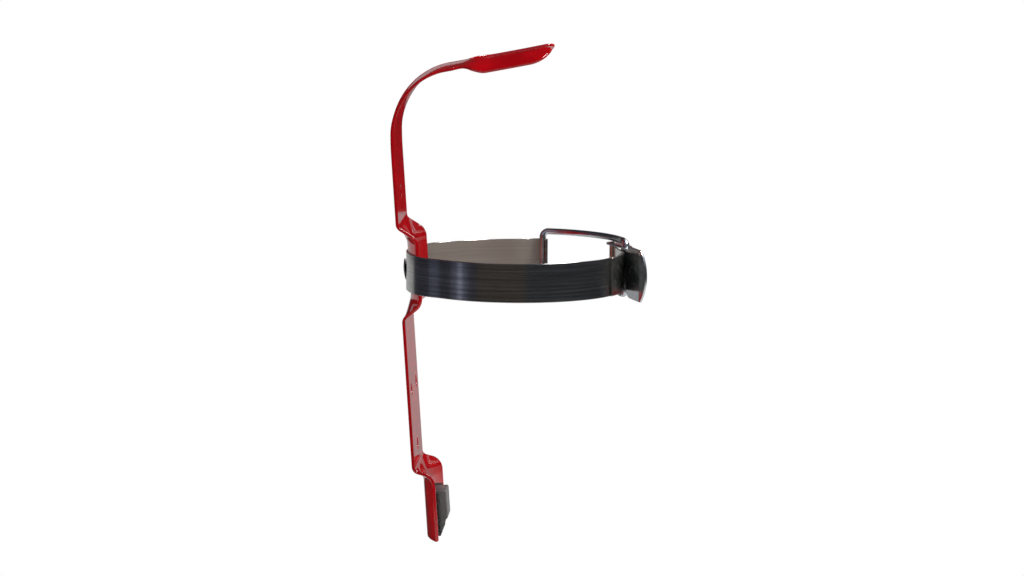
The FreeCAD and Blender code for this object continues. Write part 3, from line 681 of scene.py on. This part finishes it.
def earOutline(inset):
    # rings about the wire's hole, from its circle out to the ear's outline
    hole = wireRadius + lever["saddleClearance"] + lever["earWindow"] + inset
    reach = earReach(inset, (earTurns + pi) % (2 * pi) - pi)
    fill = np.r_[0, 0.04, 0.15, 0.35, 0.6, 0.85, 0.96, 1][:, None]
    size = hole + fill * (reach - hole)
    return [(bailAt[0] + size * np.cos(earTurns), bailAt[1] + size * np.sin(earTurns), [])]


def earParts(low):
    # one ear, its lower face at a height
    def place(x, y, depth):
        return hung(x, y, low + depth)
    return sheetParts(earOutline, place, lever["sheet"], lever["edgeRadius"], 3)


plateParts = sheetParts(
    leverOutline, alongPlan(leverLine, lever["sheet"] / 2), lever["sheet"], lever["edgeRadius"])
thumbLever = addMesh("thumb_lever", *joinParts([plateParts, earParts(earInner), earParts(-earOuter)]))
print("lever:", len(thumbLever.data.polygons), "faces")


# Hinge pin with headed ends

pinTop = earOuter + pin["headHeight"]
pinProfile = [(0, -pinTop), (0.7, -pinTop + 0.02), (1.3, -pinTop + 0.12), (1.75, -pinTop + 0.3),
              (pin["headRadius"], -earOuter - 0.12), (pin["headRadius"], -earOuter - 0.02),
              (pin["radius"], -earOuter)]
pinProfile += [(radius, -height) for radius, height in pinProfile[::-1]]


def pinPlace(x, y, height):
    return hung(hingeAt[0] + x, hingeAt[1] + y, height)


hingePin = addMesh("hinge_pin", *outward(latheParts(pinProfile, pinPlace, 32)))
print("pin:", len(hingePin.data.polygons), "faces")


# Wire bail: one closed loop, its far end in the strap's hook and its near end in the lever's saddle

bail = {"bend": 2.9, "bendPull": 0.5523, "height": 28.2, "curveStand": 3.3, "sides": 28}


def bailPath():
    # legs on an arc, feet straight across, and a Bezier quarter turn at each corner
    half = bail["height"] / 2
    curve = strap["radius"] + bail["curveStand"]
    middle = (bailAt + hookCentre) / 2
    away = middle / np.linalg.norm(middle)
    centre = middle - away * sqrt(curve ** 2 - (np.linalg.norm(bailAt - hookCentre) / 2) ** 2)
    trim = degrees(bail["bend"] / curve)
    fromHook = degrees(atan2(*(hookCentre - centre)[::-1]))
    toBail = degrees(atan2(*(bailAt - centre)[::-1]))
    turn = 1 if toBail > fromHook else -1
    hookSide, bailSide = fromHook + turn * trim, toBail - turn * trim
    leg = arcPoints(centre, curve, hookSide, bailSide, 1.5)
    pull = bail["bend"] * bail["bendPull"]
    flat = half - bail["bend"]
    foot = np.linspace(-flat, flat, 12)

    def corner(foot, side, legAngle, heading):
        low = np.array([*foot, side * flat])
        high = np.array([*polar(curve, legAngle, centre), side * half])
        tangent = np.array([*polar(1, legAngle + 90), 0]) * heading
        return curvePoints(low, low + [0, 0, side * pull], high - tangent * pull, high, 12)

    def level(points, z):
        return np.column_stack([points, np.full(len(points), z)])

    def upright(at, heights):
        return np.column_stack([np.tile(at, (len(heights), 1)), heights])

    path = np.concatenate([
        level(leg, half), corner(bailAt, 1, bailSide, -turn)[::-1], upright(bailAt, -foot),
        corner(bailAt, -1, bailSide, -turn), level(leg[::-1], -half),
        corner(hookCentre, -1, hookSide, turn)[::-1], upright(hookCentre, foot),
        corner(hookCentre, 1, hookSide, turn)])
    keep = np.linalg.norm(path - np.roll(path, 1, axis=0), axis=1) > 1e-6
    return path[keep], centre


def tubeParts(path, centre, radius, sides):
    # closed wire: a circle carried round the path, framed by the direction away from the legs' centre
    way = np.roll(path, -1, axis=0) - np.roll(path, 1, axis=0)
    way /= np.linalg.norm(way, axis=1, keepdims=True)
    away = np.column_stack([path[:, :2] - centre, np.zeros(len(path))])
    away -= way * np.sum(away * way, axis=1, keepdims=True)
    away /= np.linalg.norm(away, axis=1, keepdims=True)
    side = np.cross(way, away)
    turn = np.linspace(0, 2 * pi, sides + 1)
    path, away, side = (np.concatenate([rows, rows[:1]]) for rows in (path, away, side))
    circle = np.cos(turn)[:, None] * away[:, None] + np.sin(turn)[:, None] * side[:, None]
    ring = path[:, None] + radius * circle
    points = hung(ring[..., 0], ring[..., 1], ring[..., 2]).reshape(-1, 3)
    run = np.r_[0, np.cumsum(np.linalg.norm(np.diff(path, axis=0), axis=1))]
    flat = np.stack([np.repeat(run[:, None], sides + 1, axis=1),
                     np.repeat(radius * turn[None], len(path), axis=0),
                     np.zeros((len(path), sides + 1))], axis=-1).reshape(-1, 3)
    pick, quads = weld(points, gridQuads(len(path), sides + 1).reshape(-1, 4))
    return points[pick], splitFaces(quads), flat[pick]


wireBail = addMesh("wire_loop", *outward(tubeParts(*bailPath(), wireRadius, bail["sides"])))
print("bail:", len(wireBail.data.polygons), "faces")


# Foot rest: a moulded ledge over a foam pad, both bonded in the foot's trough

rest = {"width": 18.0, "reach": 14.1, "top": -55.8, "height": 17.4, "chamfer": 3.0, "round": 0.9,
        "edge": 0.6, "bond": 0.06, "cornerPull": 0.45}
restLow = rest["top"] - rest["height"]
footPlane = frontPlane - strip["footDepth"]


def troughFace(x):
    # front of the foot's trough, a bond's thickness off the sheet
    return footPlane - rest["bond"] - (strip["troughRadius"] - np.sqrt(strip["troughRadius"] ** 2 - x ** 2))


def restSection(inset):
    # side profile drawn in by inset: flat top, front face, chamfer and underside, with rounded corners;
    # its back end is left open to follow the trough
    front = frontPlane - rest["reach"] + inset
    top, low = rest["top"] - inset, restLow + inset
    lean = inset * (sqrt(2) - 1)
    chamfer = rest["chamfer"] - lean
    corners = np.array([
        (0.0, top), (front, top), (front, low + chamfer), (front + chamfer, low), (0.0, low)])
    line = [corners[:1]]
    for before, corner, after in zip(corners[:-2], corners[1:-1], corners[2:]):
        into = (corner - before) / np.linalg.norm(corner - before)
        away = (after - corner) / np.linalg.norm(after - corner)
        cut = rest["round"] * np.tan(np.arccos(np.clip(into @ away, -1, 1)) / 2)
        pull = cut * rest["cornerPull"]
        line.append(curvePoints(corner - into * cut, corner - into * pull, corner + away * pull,
                                corner + away * cut, 6))
    line.append(corners[-1:])
    return np.concatenate(line)


def restParts():
    # the profile carried across the ledge, drawn in round both ends, then closed over the end faces
    half = rest["width"] / 2
    ends = half - rest["edge"] * (1 - np.sin(np.linspace(0, pi / 2, 6)))
    across = np.sort(np.r_[-ends, np.linspace(-half + 2, half - 2, 15), ends])
    past = np.clip(np.abs(across) - half + rest["edge"], 0, None)
    rings = []
    for x, inset in zip(across, rest["edge"] - halfChord(rest["edge"], past)):
        line = restSection(inset)
        y = np.minimum(line[:, 0], troughFace(x))
        rings.append(np.column_stack([np.full(len(y), x), y, line[:, 1]]))
    rings = np.array(rings)
    caps = []
    for end in (0, -1):
        middle = rings[end].mean(axis=0)
        caps.append(np.array([middle + (rings[end] - middle) * share for share in (0.97, 0.7, 0.35, 0.0)]))
    grid = np.concatenate([caps[0][::-1], rings, caps[1]])
    grid = np.concatenate([grid, grid[:, :1]], axis=1)
    points = grid.reshape(-1, 3)
    pick, quads = weld(points, gridQuads(*grid.shape[:2]).reshape(-1, 4))
    return points[pick], splitFaces(quads), np.zeros((len(pick), 3))


restBlock = addMesh("rest_ledge", *outward(restParts()))

pad = {"width": 30.0, "reach": 10.6, "bottom": -78.6, "round": 0.9, "rough": 0.11, "grain": 1.5,
       "ragged": 0.006, "raggedGrain": 3.0, "margin": 0.15}
padFront = frontPlane - pad["reach"]
padThickness = pad["reach"] - strip["footDepth"]


def padOutline(inset):
    # a U of three grids below and beside the ledge
    half = pad["width"] / 2 - inset
    low, high = pad["bottom"] + inset, rest["top"] - rest["bond"] - inset
    notchHalf = rest["width"] / 2 + rest["bond"] + inset
    notchLow = restLow - rest["bond"] - inset

    def lines(start, end, count):
        # even lines, with one more close to each end
        inner = np.linspace(start, end, count + 2)[1:-1]
        return np.r_[start, start + pad["margin"], inner, end - pad["margin"], end]

    legAcross, middleAcross = lines(notchHalf, half, 9), lines(-notchHalf, notchHalf, 39)
    legUp, lowUp = lines(notchLow, high, 21), lines(low, notchLow, 16)
    blocks = [(-legAcross, legUp), (legAcross, legUp), (-legAcross, lowUp), (legAcross, lowUp),
              (middleAcross, lowUp)]
    return [(*np.meshgrid(across, up, indexing="ij"), []) for across, up in blocks]


def padPlace(x, z, depth):
    # the front is crowned a little and the back follows the trough; the open-celled skin is uneven
    share = depth / padThickness
    y = padFront + (troughFace(x) - padFront) * share
    rough = pad["rough"] * waves(x, y, z, pad["grain"], 5) * (1 - share)
    ragged = pad["ragged"] * waves(x, y, z, pad["raggedGrain"], 8)
    ragged = ragged * np.clip(share * 6, 0, 1) * np.clip((1 - share) * 3, 0, 1)
    return np.stack([x * (1 + ragged), y + np.abs(rough) - 0.02, z], axis=-1)


foamPad = addMesh("foam_strip", *sheetParts(padOutline, padPlace, padThickness, pad["round"], 5))
print("rest and pad:", len(restBlock.data.polygons), "and", len(foamPad.data.polygons), "faces")


# Finishes

class Signal:
    # a node's output that takes part in sums, such as 1 - mask * 0.4
    def __init__(self, socket):
        self.socket = socket
        self.tree = socket.id_data

    def maths(self, operation, *values):
        node = self.tree.nodes.new("ShaderNodeMath")
        node.operation = operation
        for slot, value in enumerate(values):
            if isinstance(value, Signal):
                self.tree.links.new(value.socket, node.inputs[slot])
            else:
                node.inputs[slot].default_value = value
        return Signal(node.outputs[0])

    def __add__(self, other):
        return self.maths("ADD", self, other)

    def __radd__(self, other):
        return self.maths("ADD", other, self)

    def __sub__(self, other):
        return self.maths("SUBTRACT", self, other)

    def __rsub__(self, other):
        return self.maths("SUBTRACT", other, self)

    def __mul__(self, other):
        return self.maths("MULTIPLY", self, other)

    def __rmul__(self, other):
        return self.maths("MULTIPLY", other, self)


class Finish:
    # a node tree and the one way to add a node to it
    def __init__(self, tree):
        self.tree = tree
        tree.nodes.clear()

    def node(self, kind, settings, sockets, output=0):
        # settings are set first, then each socket gets a value or a link
        node = self.tree.nodes.new("ShaderNode" + kind)
        for name, value in settings.items():
            setattr(node, name, value)
        for name, value in sockets.items():
            if isinstance(value, Signal):
                self.tree.links.new(value.socket, node.inputs[name])
            else:
                node.inputs[name].default_value = value
        return Signal(node.outputs[output]) if len(node.outputs) else None

    def spot(self):
        # the place on the object, in metres
        return self.node("TexCoord", {}, {}, 3)

    def marks(self):
        # the mesh's own vector: the flat pattern's two measures, and the mark of front, back and rim
        return self.node("Attribute", {"attribute_name": "marks"}, {}, 1)

    def face(self, marks):
        return self.node("SeparateXYZ", {}, {"Vector": marks}, 2)

    def white(self, start=0.0):
        # 1 for what the camera, mirrors and glass see, and start for everything else
        camera, glossy, glass = (self.node("LightPath", {}, {}, output) for output in (0, 3, 6))
        return self.window(camera + glossy + glass, 0.0, 1.0, start)

    def mix(self, share, first, second):
        # colour between two colours
        return self.node("Mix", {"data_type": "RGBA"}, {0: share, 6: first, 7: second}, 2)

    def stretch(self, vector, scale):
        return self.node("Mapping", {"vector_type": "POINT"}, {"Vector": vector, "Scale": scale})

    def noise(self, vector, scale, detail, roughness):
        return self.node("TexNoise", {"noise_dimensions": "3D"}, {
            "Vector": vector, "Scale": scale, "Detail": detail, "Roughness": roughness, "Distortion": 0.0})

    def window(self, value, low, high, start=0.0):
        # eased from start to 1 as the value goes from low to high, and held at both ends
        return self.node("MapRange", {"clamp": True, "interpolation_type": "SMOOTHSTEP"}, {
            "Value": value, "From Min": low, "From Max": high, "To Min": start, "To Max": 1.0})

    def tones(self, share, settings):
        # between a finish's dark and light colours
        return self.mix(share, rgb(*settings["dark"]), rgb(*settings["light"]))

    def bump(self, height, settings):
        return self.node("Bump", {}, {
            "Height": height, "Distance": settings["bump"], "Strength": settings["bumpStrength"]})


def coat(piece, name, surface):
    # gives the piece a material whose closure surface(finish) builds
    material = bpy.data.materials.new(name)
    material.use_nodes = True
    finish = Finish(material.node_tree)
    finish.node("OutputMaterial", {}, {"Surface": surface(finish)})
    piece.data.materials.append(material)


def rgb(red, green, blue):
    # screen values from 0 to 255 as linear colour
    linear = [((v / 255 + 0.055) / 1.055) ** 2.4 if v > 10 else v / 255 / 12.92 for v in (red, green, blue)]
    return (*linear, 1.0)


redPaint = {"dark": (150, 1, 9), "light": (176, 3, 14), "edge": (150, 3, 8), "gloss": 0.05,
            "uneven": 0.05, "bump": 0.000006, "bumpStrength": 0.5}


def paintRed(finish):
    # stove enamel: soft waves from the sheet's draw lines, fine orange peel, thinner on the edges
    spot = finish.spot()
    edge = finish.face(finish.marks())
    drawn = finish.noise(finish.stretch(spot, (900.0, 12.0, 12.0)), 1.0, 3.0, 0.6)
    peel = finish.noise(spot, 700.0, 2.0, 0.5)
    broad = finish.noise(spot, 55.0, 3.0, 0.6)
    worn = finish.noise(spot, 420.0, 4.0, 0.7)
    shade = finish.tones(finish.window(broad, 0.35, 0.7), redPaint)
    shade = finish.mix(edge * finish.window(worn, 0.35, 0.7), shade, rgb(*redPaint["edge"]))
    return {"Base Color": shade, "Roughness": redPaint["gloss"] + redPaint["uneven"] * broad, "IOR": 1.5,
            "Normal": finish.bump(peel * 0.35 + drawn * 0.65, redPaint)}


# the inside colour is a painted reflection: brownish, for the red strip that the hoop's inside mirrors
brushed = {"light": (196, 194, 190), "dark": (150, 148, 146), "inside": (158, 146, 134), "gloss": 0.13,
           "streak": 0.16, "insideDull": 0.22, "insideReflectionTint": 0.8, "bump": 0.000006, "bumpStrength": 1.0}


def paintBrushed(finish):
    # cold-rolled spring steel: fine lines along the strap, a few deeper scratches, dull clouds
    marks = finish.marks()
    fine = finish.noise(finish.stretch(marks, (0.03, 3.2, 0.0)), 1.0, 3.0, 0.6)
    lines = finish.noise(finish.stretch(marks, (0.012, 0.9, 0.0)), 1.0, 3.0, 0.6)
    cloud = finish.noise(finish.spot(), 60.0, 3.0, 0.6)
    # the hoop's inside is rubbed dull, and its colour is tinted brown with less metal shine: a painted
    # reflection of the red strip
    inside = finish.window(0.0 - finish.face(marks), 0.0, 1.0)
    shade = finish.tones(finish.window(lines, 0.3, 0.7), brushed)
    # painted reflection: the inside face takes a brownish colour in place of the red strip it mirrors
    shade = finish.mix(inside * brushed["insideReflectionTint"], shade, rgb(*brushed["inside"]))
    rough = brushed["gloss"] + brushed["streak"] * fine * cloud + brushed["insideDull"] * inside
    return {"Base Color": shade, "Metallic": 1.0 - 0.15 * inside, "Roughness": rough,
            "Normal": finish.bump(fine * 0.6 + lines * 0.4, brushed)}


steel = {"dark": (120, 118, 116), "light": (176, 174, 170), "gloss": 0.24, "uneven": 0.16,
         "bump": 0.00004, "bumpStrength": 0.4}


def paintSteel(finish):
    # plain headed steel, a little clouded
    cloud = finish.noise(finish.spot(), 500.0, 4.0, 0.6)
    return {"Base Color": finish.tones(finish.window(cloud, 0.3, 0.7), steel), "Metallic": 1.0,
            "Roughness": steel["gloss"] + steel["uneven"] * cloud, "Normal": finish.bump(cloud, steel)}


plate = {"dark": (176, 178, 170), "light": (202, 202, 196), "gloss": 0.13, "streak": 0.12,
         "bump": 0.000008, "bumpStrength": 1.0}


def paintPlate(finish):
    # bright rolled plate, smoother than the strap
    fine = finish.noise(finish.stretch(finish.marks(), (0.03, 2.4, 0.0)), 1.0, 3.0, 0.6)
    cloud = finish.noise(finish.spot(), 90.0, 3.0, 0.55)
    return {"Base Color": finish.tones(finish.window(cloud, 0.3, 0.7), plate), "Metallic": 1.0,
            "Roughness": plate["gloss"] + plate["streak"] * fine, "Normal": finish.bump(fine, plate)}


zinc = {"dark": (166, 170, 176), "light": (196, 198, 200), "gloss": 0.14, "uneven": 0.16, "spangle": 0.04,
        "bump": 0.00004, "bumpStrength": 0.4}


def paintZinc(finish):
    # zinc plating: pale, slightly blue, with soft spangle and handling marks
    spot = finish.spot()
    spangle = finish.node("TexVoronoi", {"feature": "SMOOTH_F1"}, {
        "Vector": spot, "Scale": 260.0, "Smoothness": 0.8})
    cloud = finish.noise(spot, 120.0, 4.0, 0.6)
    return {"Base Color": finish.tones(finish.window(cloud, 0.3, 0.7), zinc), "Metallic": 1.0,
            "Roughness": zinc["gloss"] + zinc["uneven"] * cloud + zinc["spangle"] * spangle,
            "Normal": finish.bump(cloud, zinc)}


nylon = {"dark": (84, 82, 82), "light": (104, 102, 101), "gloss": 0.5, "uneven": 0.15,
         "bump": 0.00006, "bumpStrength": 0.5}


def paintNylon(finish):
    # moulded nylon with a fine grain
    spot = finish.spot()
    grain = finish.noise(spot, 1100.0, 3.0, 0.6)
    cloud = finish.noise(spot, 90.0, 3.0, 0.6)
    return {"Base Color": finish.tones(finish.window(cloud, 0.3, 0.7), nylon), "IOR": 1.45,
            "Roughness": nylon["gloss"] + nylon["uneven"] * cloud, "Normal": finish.bump(grain, nylon)}


foam = {"dark": (14, 13, 13), "light": (58, 54, 52), "bump": 0.0004, "bumpStrength": 0.9}


def paintFoam(finish):
    # open cells in black foam; the colour is darker in each cell's pit, a painted shade, and varies in
    # random clumps
    spot = finish.spot()
    cells = finish.node("TexVoronoi", {"feature": "F1"}, {"Vector": spot, "Scale": 900.0})
    clumps = finish.noise(spot, 420.0, 4.0, 0.65)
    # painted shade: darker where the bump's pits sink
    return {"Base Color": finish.tones(finish.window(cells * clumps, 0.05, 0.4), foam), "IOR": 1.3,
            "Roughness": 0.95, "Normal": finish.bump(cells * 0.6 + clumps * 0.4, foam)}


# Finish and body of each piece, and the solid that it stands for

pieces = [
    (backPlate, "red_paint", paintRed, "bracket", "back_plate"),
    (hoopStrap, "stainless_strap", paintBrushed, "bracket", "clamp_band"),
    (bandRivet, "rivet_steel", paintSteel, "bracket", "band_rivet"),
    (latchBase, "stainless_plate", paintPlate, "bracket", "latch_base"),
    (thumbLever, "zinc_lever", paintZinc, "latch_lever", "lever"),
    (hingePin, "pin_steel", paintSteel, "latch_lever", "lever_pin"),
    (wireBail, "zinc_wire", paintZinc, "wire_bail", "bail"),
    (restBlock, "grey_plastic", paintNylon, "bracket", "rest_block"),
    (foamPad, "black_foam", paintFoam, "bracket", "foam_pad"),
]
for piece, slot, paint, body, node in pieces:
    coat(piece, slot, lambda finish: finish.node("BsdfPrincipled", {}, paint(finish)))
    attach(piece, body)
    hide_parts(node)
print("pieces:", len(pieces))


# Studio

studio = {"floorUp": -200.0, "floorSize": 14000.0, "shadowFrom": 260.0, "shadowTo": 440.0,
          "floorShade": (0.86, 0.86, 0.86, 1.0), "white": (1.0, 1.0, 1.0, 1.0), "fill": 0.6}
# Flags round the object, seen only in reflections: each is a profile of radii and heights, turned
# about Z from one angle to another
roof = [(1150.0, 700.0), (900.0, 1250.0), (450.0, 1600.0), (0.0, 1700.0)]
darkRoom = [(700.0, -196.0), (1150.0, -195.0)] + roof
overhead = [(1150.0, 520.0)] + roof
skirting = [(300.0, -197.0), (800.0, -195.0), (800.0, -115.0)]
cards = [
    {"name": "card_back", "profile": darkRoom, "from": 48.0, "to": 141.0, "shade": (0.045, 0.047, 0.062)},
    {"name": "card_left", "profile": darkRoom, "from": 141.0, "to": 195.0, "shade": (0.062, 0.054, 0.048)},
    {"name": "card_front", "profile": darkRoom, "from": 195.0, "to": 300.0, "shade": (0.036, 0.041, 0.049)},
    {"name": "card_overhead", "profile": overhead, "from": -60.0, "to": 48.0,
     "shade": (0.022, 0.022, 0.024)},
    {"name": "card_far_low", "profile": [(800.0, -195.0), (800.0, 8.0)], "from": -60.0, "to": 4.0,
     "shade": (0.36, 0.35, 0.35)},
    {"name": "card_far_side", "profile": [(800.0, -115.0), (800.0, 8.0)], "from": 4.0, "to": 48.0,
     "shade": (0.52, 0.53, 0.53)},
    {"name": "card_far_foot", "profile": skirting, "from": 4.0, "to": 15.0,
     "shade": (0.46, 0.45, 0.45)},
    {"name": "card_far_corner", "profile": skirting, "from": 15.0, "to": 60.0,
     "shade": (0.03, 0.03, 0.03)},
    {"name": "card_far_red", "profile": [(800.0, 8.0), (800.0, 200.0)], "from": -24.0, "to": 12.0,
     "shade": (0.24, 0.012, 0.014)},
    {"name": "card_far_middle", "profile": [(810.0, 8.0), (810.0, 200.0)], "from": -60.0, "to": 48.0,
     "shade": (0.02, 0.02, 0.02)},
    {"name": "card_far_high", "profile": [(800.0, 205.0), (800.0, 285.0)], "from": -60.0, "to": 48.0,
     "shade": (0.36, 0.36, 0.37)},
    {"name": "card_far_top", "profile": [(800.0, 290.0), (800.0, 530.0)], "from": -60.0, "to": 48.0,
     "shade": (0.03, 0.03, 0.03)},
    {"name": "card_key", "profile": [(820.0, 760.0), (600.0, 1000.0)], "from": 238.0, "to": 272.0,
     "shade": (60.0, 60.0, 60.0)},
    {"name": "card_slit", "profile": [(1100.0, -190.0), (1100.0, 40.0)], "from": 118.0, "to": 123.0,
     "shade": (0.40, 0.44, 0.58)},
    {"name": "card_glow", "profile": [(1120.0, -190.0), (1120.0, 40.0)], "from": 108.0, "to": 131.0,
     "shade": (0.10, 0.11, 0.16)},
    {"name": "card_sky", "profile": [(1050.0, 430.0), (900.0, 900.0)], "from": 140.0, "to": 225.0,
     "shade": (0.42, 0.46, 0.62)},
]


def makeFloor():
    # flat disc of rings; near the object it is a matt floor that keeps the shadow, further out white
    angle = np.linspace(0, 2 * pi, 97)
    radius = np.r_[0, np.geomspace(40, studio["floorSize"], 28)][:, None]
    grid = np.stack([radius * np.cos(angle), radius * np.sin(angle),
                     np.full((len(radius), len(angle)), studio["floorUp"])], axis=-1)
    points = grid.reshape(-1, 3)
    pick, quads = weld(points, gridQuads(len(radius), len(angle)).reshape(-1, 4))
    floor = addMesh("studio_floor", points[pick], splitFaces(quads))

    def surface(finish):
        flat = finish.stretch(finish.spot(), (1.0, 1.0, 0.0))
        away = finish.node("VectorMath", {"operation": "LENGTH"}, {0: flat}, 1)
        far = finish.window(away, studio["shadowFrom"] * metre, studio["shadowTo"] * metre)
        matt = finish.node("BsdfDiffuse", {}, {"Color": studio["floorShade"]})
        white = finish.node("Emission", {}, {"Color": studio["white"], "Strength": 1.0})
        return finish.node("MixShader", {}, {0: far * finish.white(), 1: matt, 2: white})

    coat(floor, "studio_floor", surface)
    return floor


def makeCard(card):
    # a profile turned about Z, seen only in reflections, as a studio's flags are
    angle = np.radians(np.linspace(card["from"], card["to"], 33))
    radius, height = np.array(card["profile"]).T[:, :, None]
    grid = np.stack([radius * np.cos(angle), radius * np.sin(angle), height + 0 * angle], axis=-1)
    quads = gridQuads(len(radius), len(angle)).reshape(-1, 4)
    flag = addMesh(card["name"], grid.reshape(-1, 3), [quads])
    coat(flag, card["name"], lambda finish: finish.node(
        "Emission", {}, {"Color": (*card["shade"], 1.0), "Strength": 1.0}))
    flag.visible_camera = False
    flag.visible_diffuse = False
    flag.visible_shadow = False
    flag.visible_transmission = False
    return flag


def makeWorld():
    # white to the camera, mirrors and glass, and a soft grey fill for everything else
    world = bpy.data.worlds.new("studio")
    bpy.context.scene.world = world
    world.use_nodes = True
    finish = Finish(world.node_tree)
    light = finish.node("Background", {}, {
        "Color": studio["white"], "Strength": finish.white(studio["fill"])})
    finish.node("OutputWorld", {}, {"Surface": light})


lamps = [
    {"name": "key", "place": (-250, -1050, 1250), "width": 700, "height": 700, "power": 17.0},
    {"name": "side", "place": (900, -700, 500), "width": 500, "height": 900, "power": 5.0},
]
lampAim = (0, -50, 40)


def makeLamp(lamp):
    # a flat lamp that faces the object
    data = bpy.data.lights.new(lamp["name"], "AREA")
    data.shape = "RECTANGLE"
    data.size = lamp["width"] * metre
    data.size_y = lamp["height"] * metre
    data.energy = lamp["power"]
    light = bpy.data.objects.new(lamp["name"], data)
    bpy.context.scene.collection.objects.link(light)
    way = Vector(lampAim) - Vector(lamp["place"])
    light.location = Vector(lamp["place"]) * metre
    light.rotation_euler = way.to_track_quat("-Z", "Y").to_euler()


makeFloor()
[makeCard(card) for card in cards]
makeWorld()
for lamp in lamps:
    makeLamp(lamp)


# Camera

camera = {"from": (-1771.41, -167.55, 276.10), "aim": (-1.40, -56.37, 48.34), "roll": -3.555,
          "lens": 120.42, "sensor": 36.0, "near": 0.05, "far": 60.0}


def makeCamera():
    # the photograph's viewpoint, rolled a little about its own line of sight
    data = bpy.data.cameras.new("photo_view")
    data.lens = camera["lens"]
    data.sensor_width = camera["sensor"]
    data.clip_start, data.clip_end = camera["near"], camera["far"]
    view = bpy.data.objects.new("photo_view", data)
    bpy.context.scene.collection.objects.link(view)
    back = (Vector(camera["from"]) - Vector(camera["aim"])).normalized()
    right = Vector((0, 0, 1)).cross(back).normalized()
    up = back.cross(right)
    roll = radians(camera["roll"])
    rightRolled = right * cos(roll) + up * sin(roll)
    upRolled = up * cos(roll) - right * sin(roll)
    turn = Matrix((rightRolled, upRolled, back)).transposed()
    view.matrix_world = Matrix.Translation(Vector(camera["from"]) * metre) @ turn.to_4x4()
    bpy.context.scene.camera = view


makeCamera()
bpy.context.scene.view_settings.view_transform = "Standard"
print("studio ready")
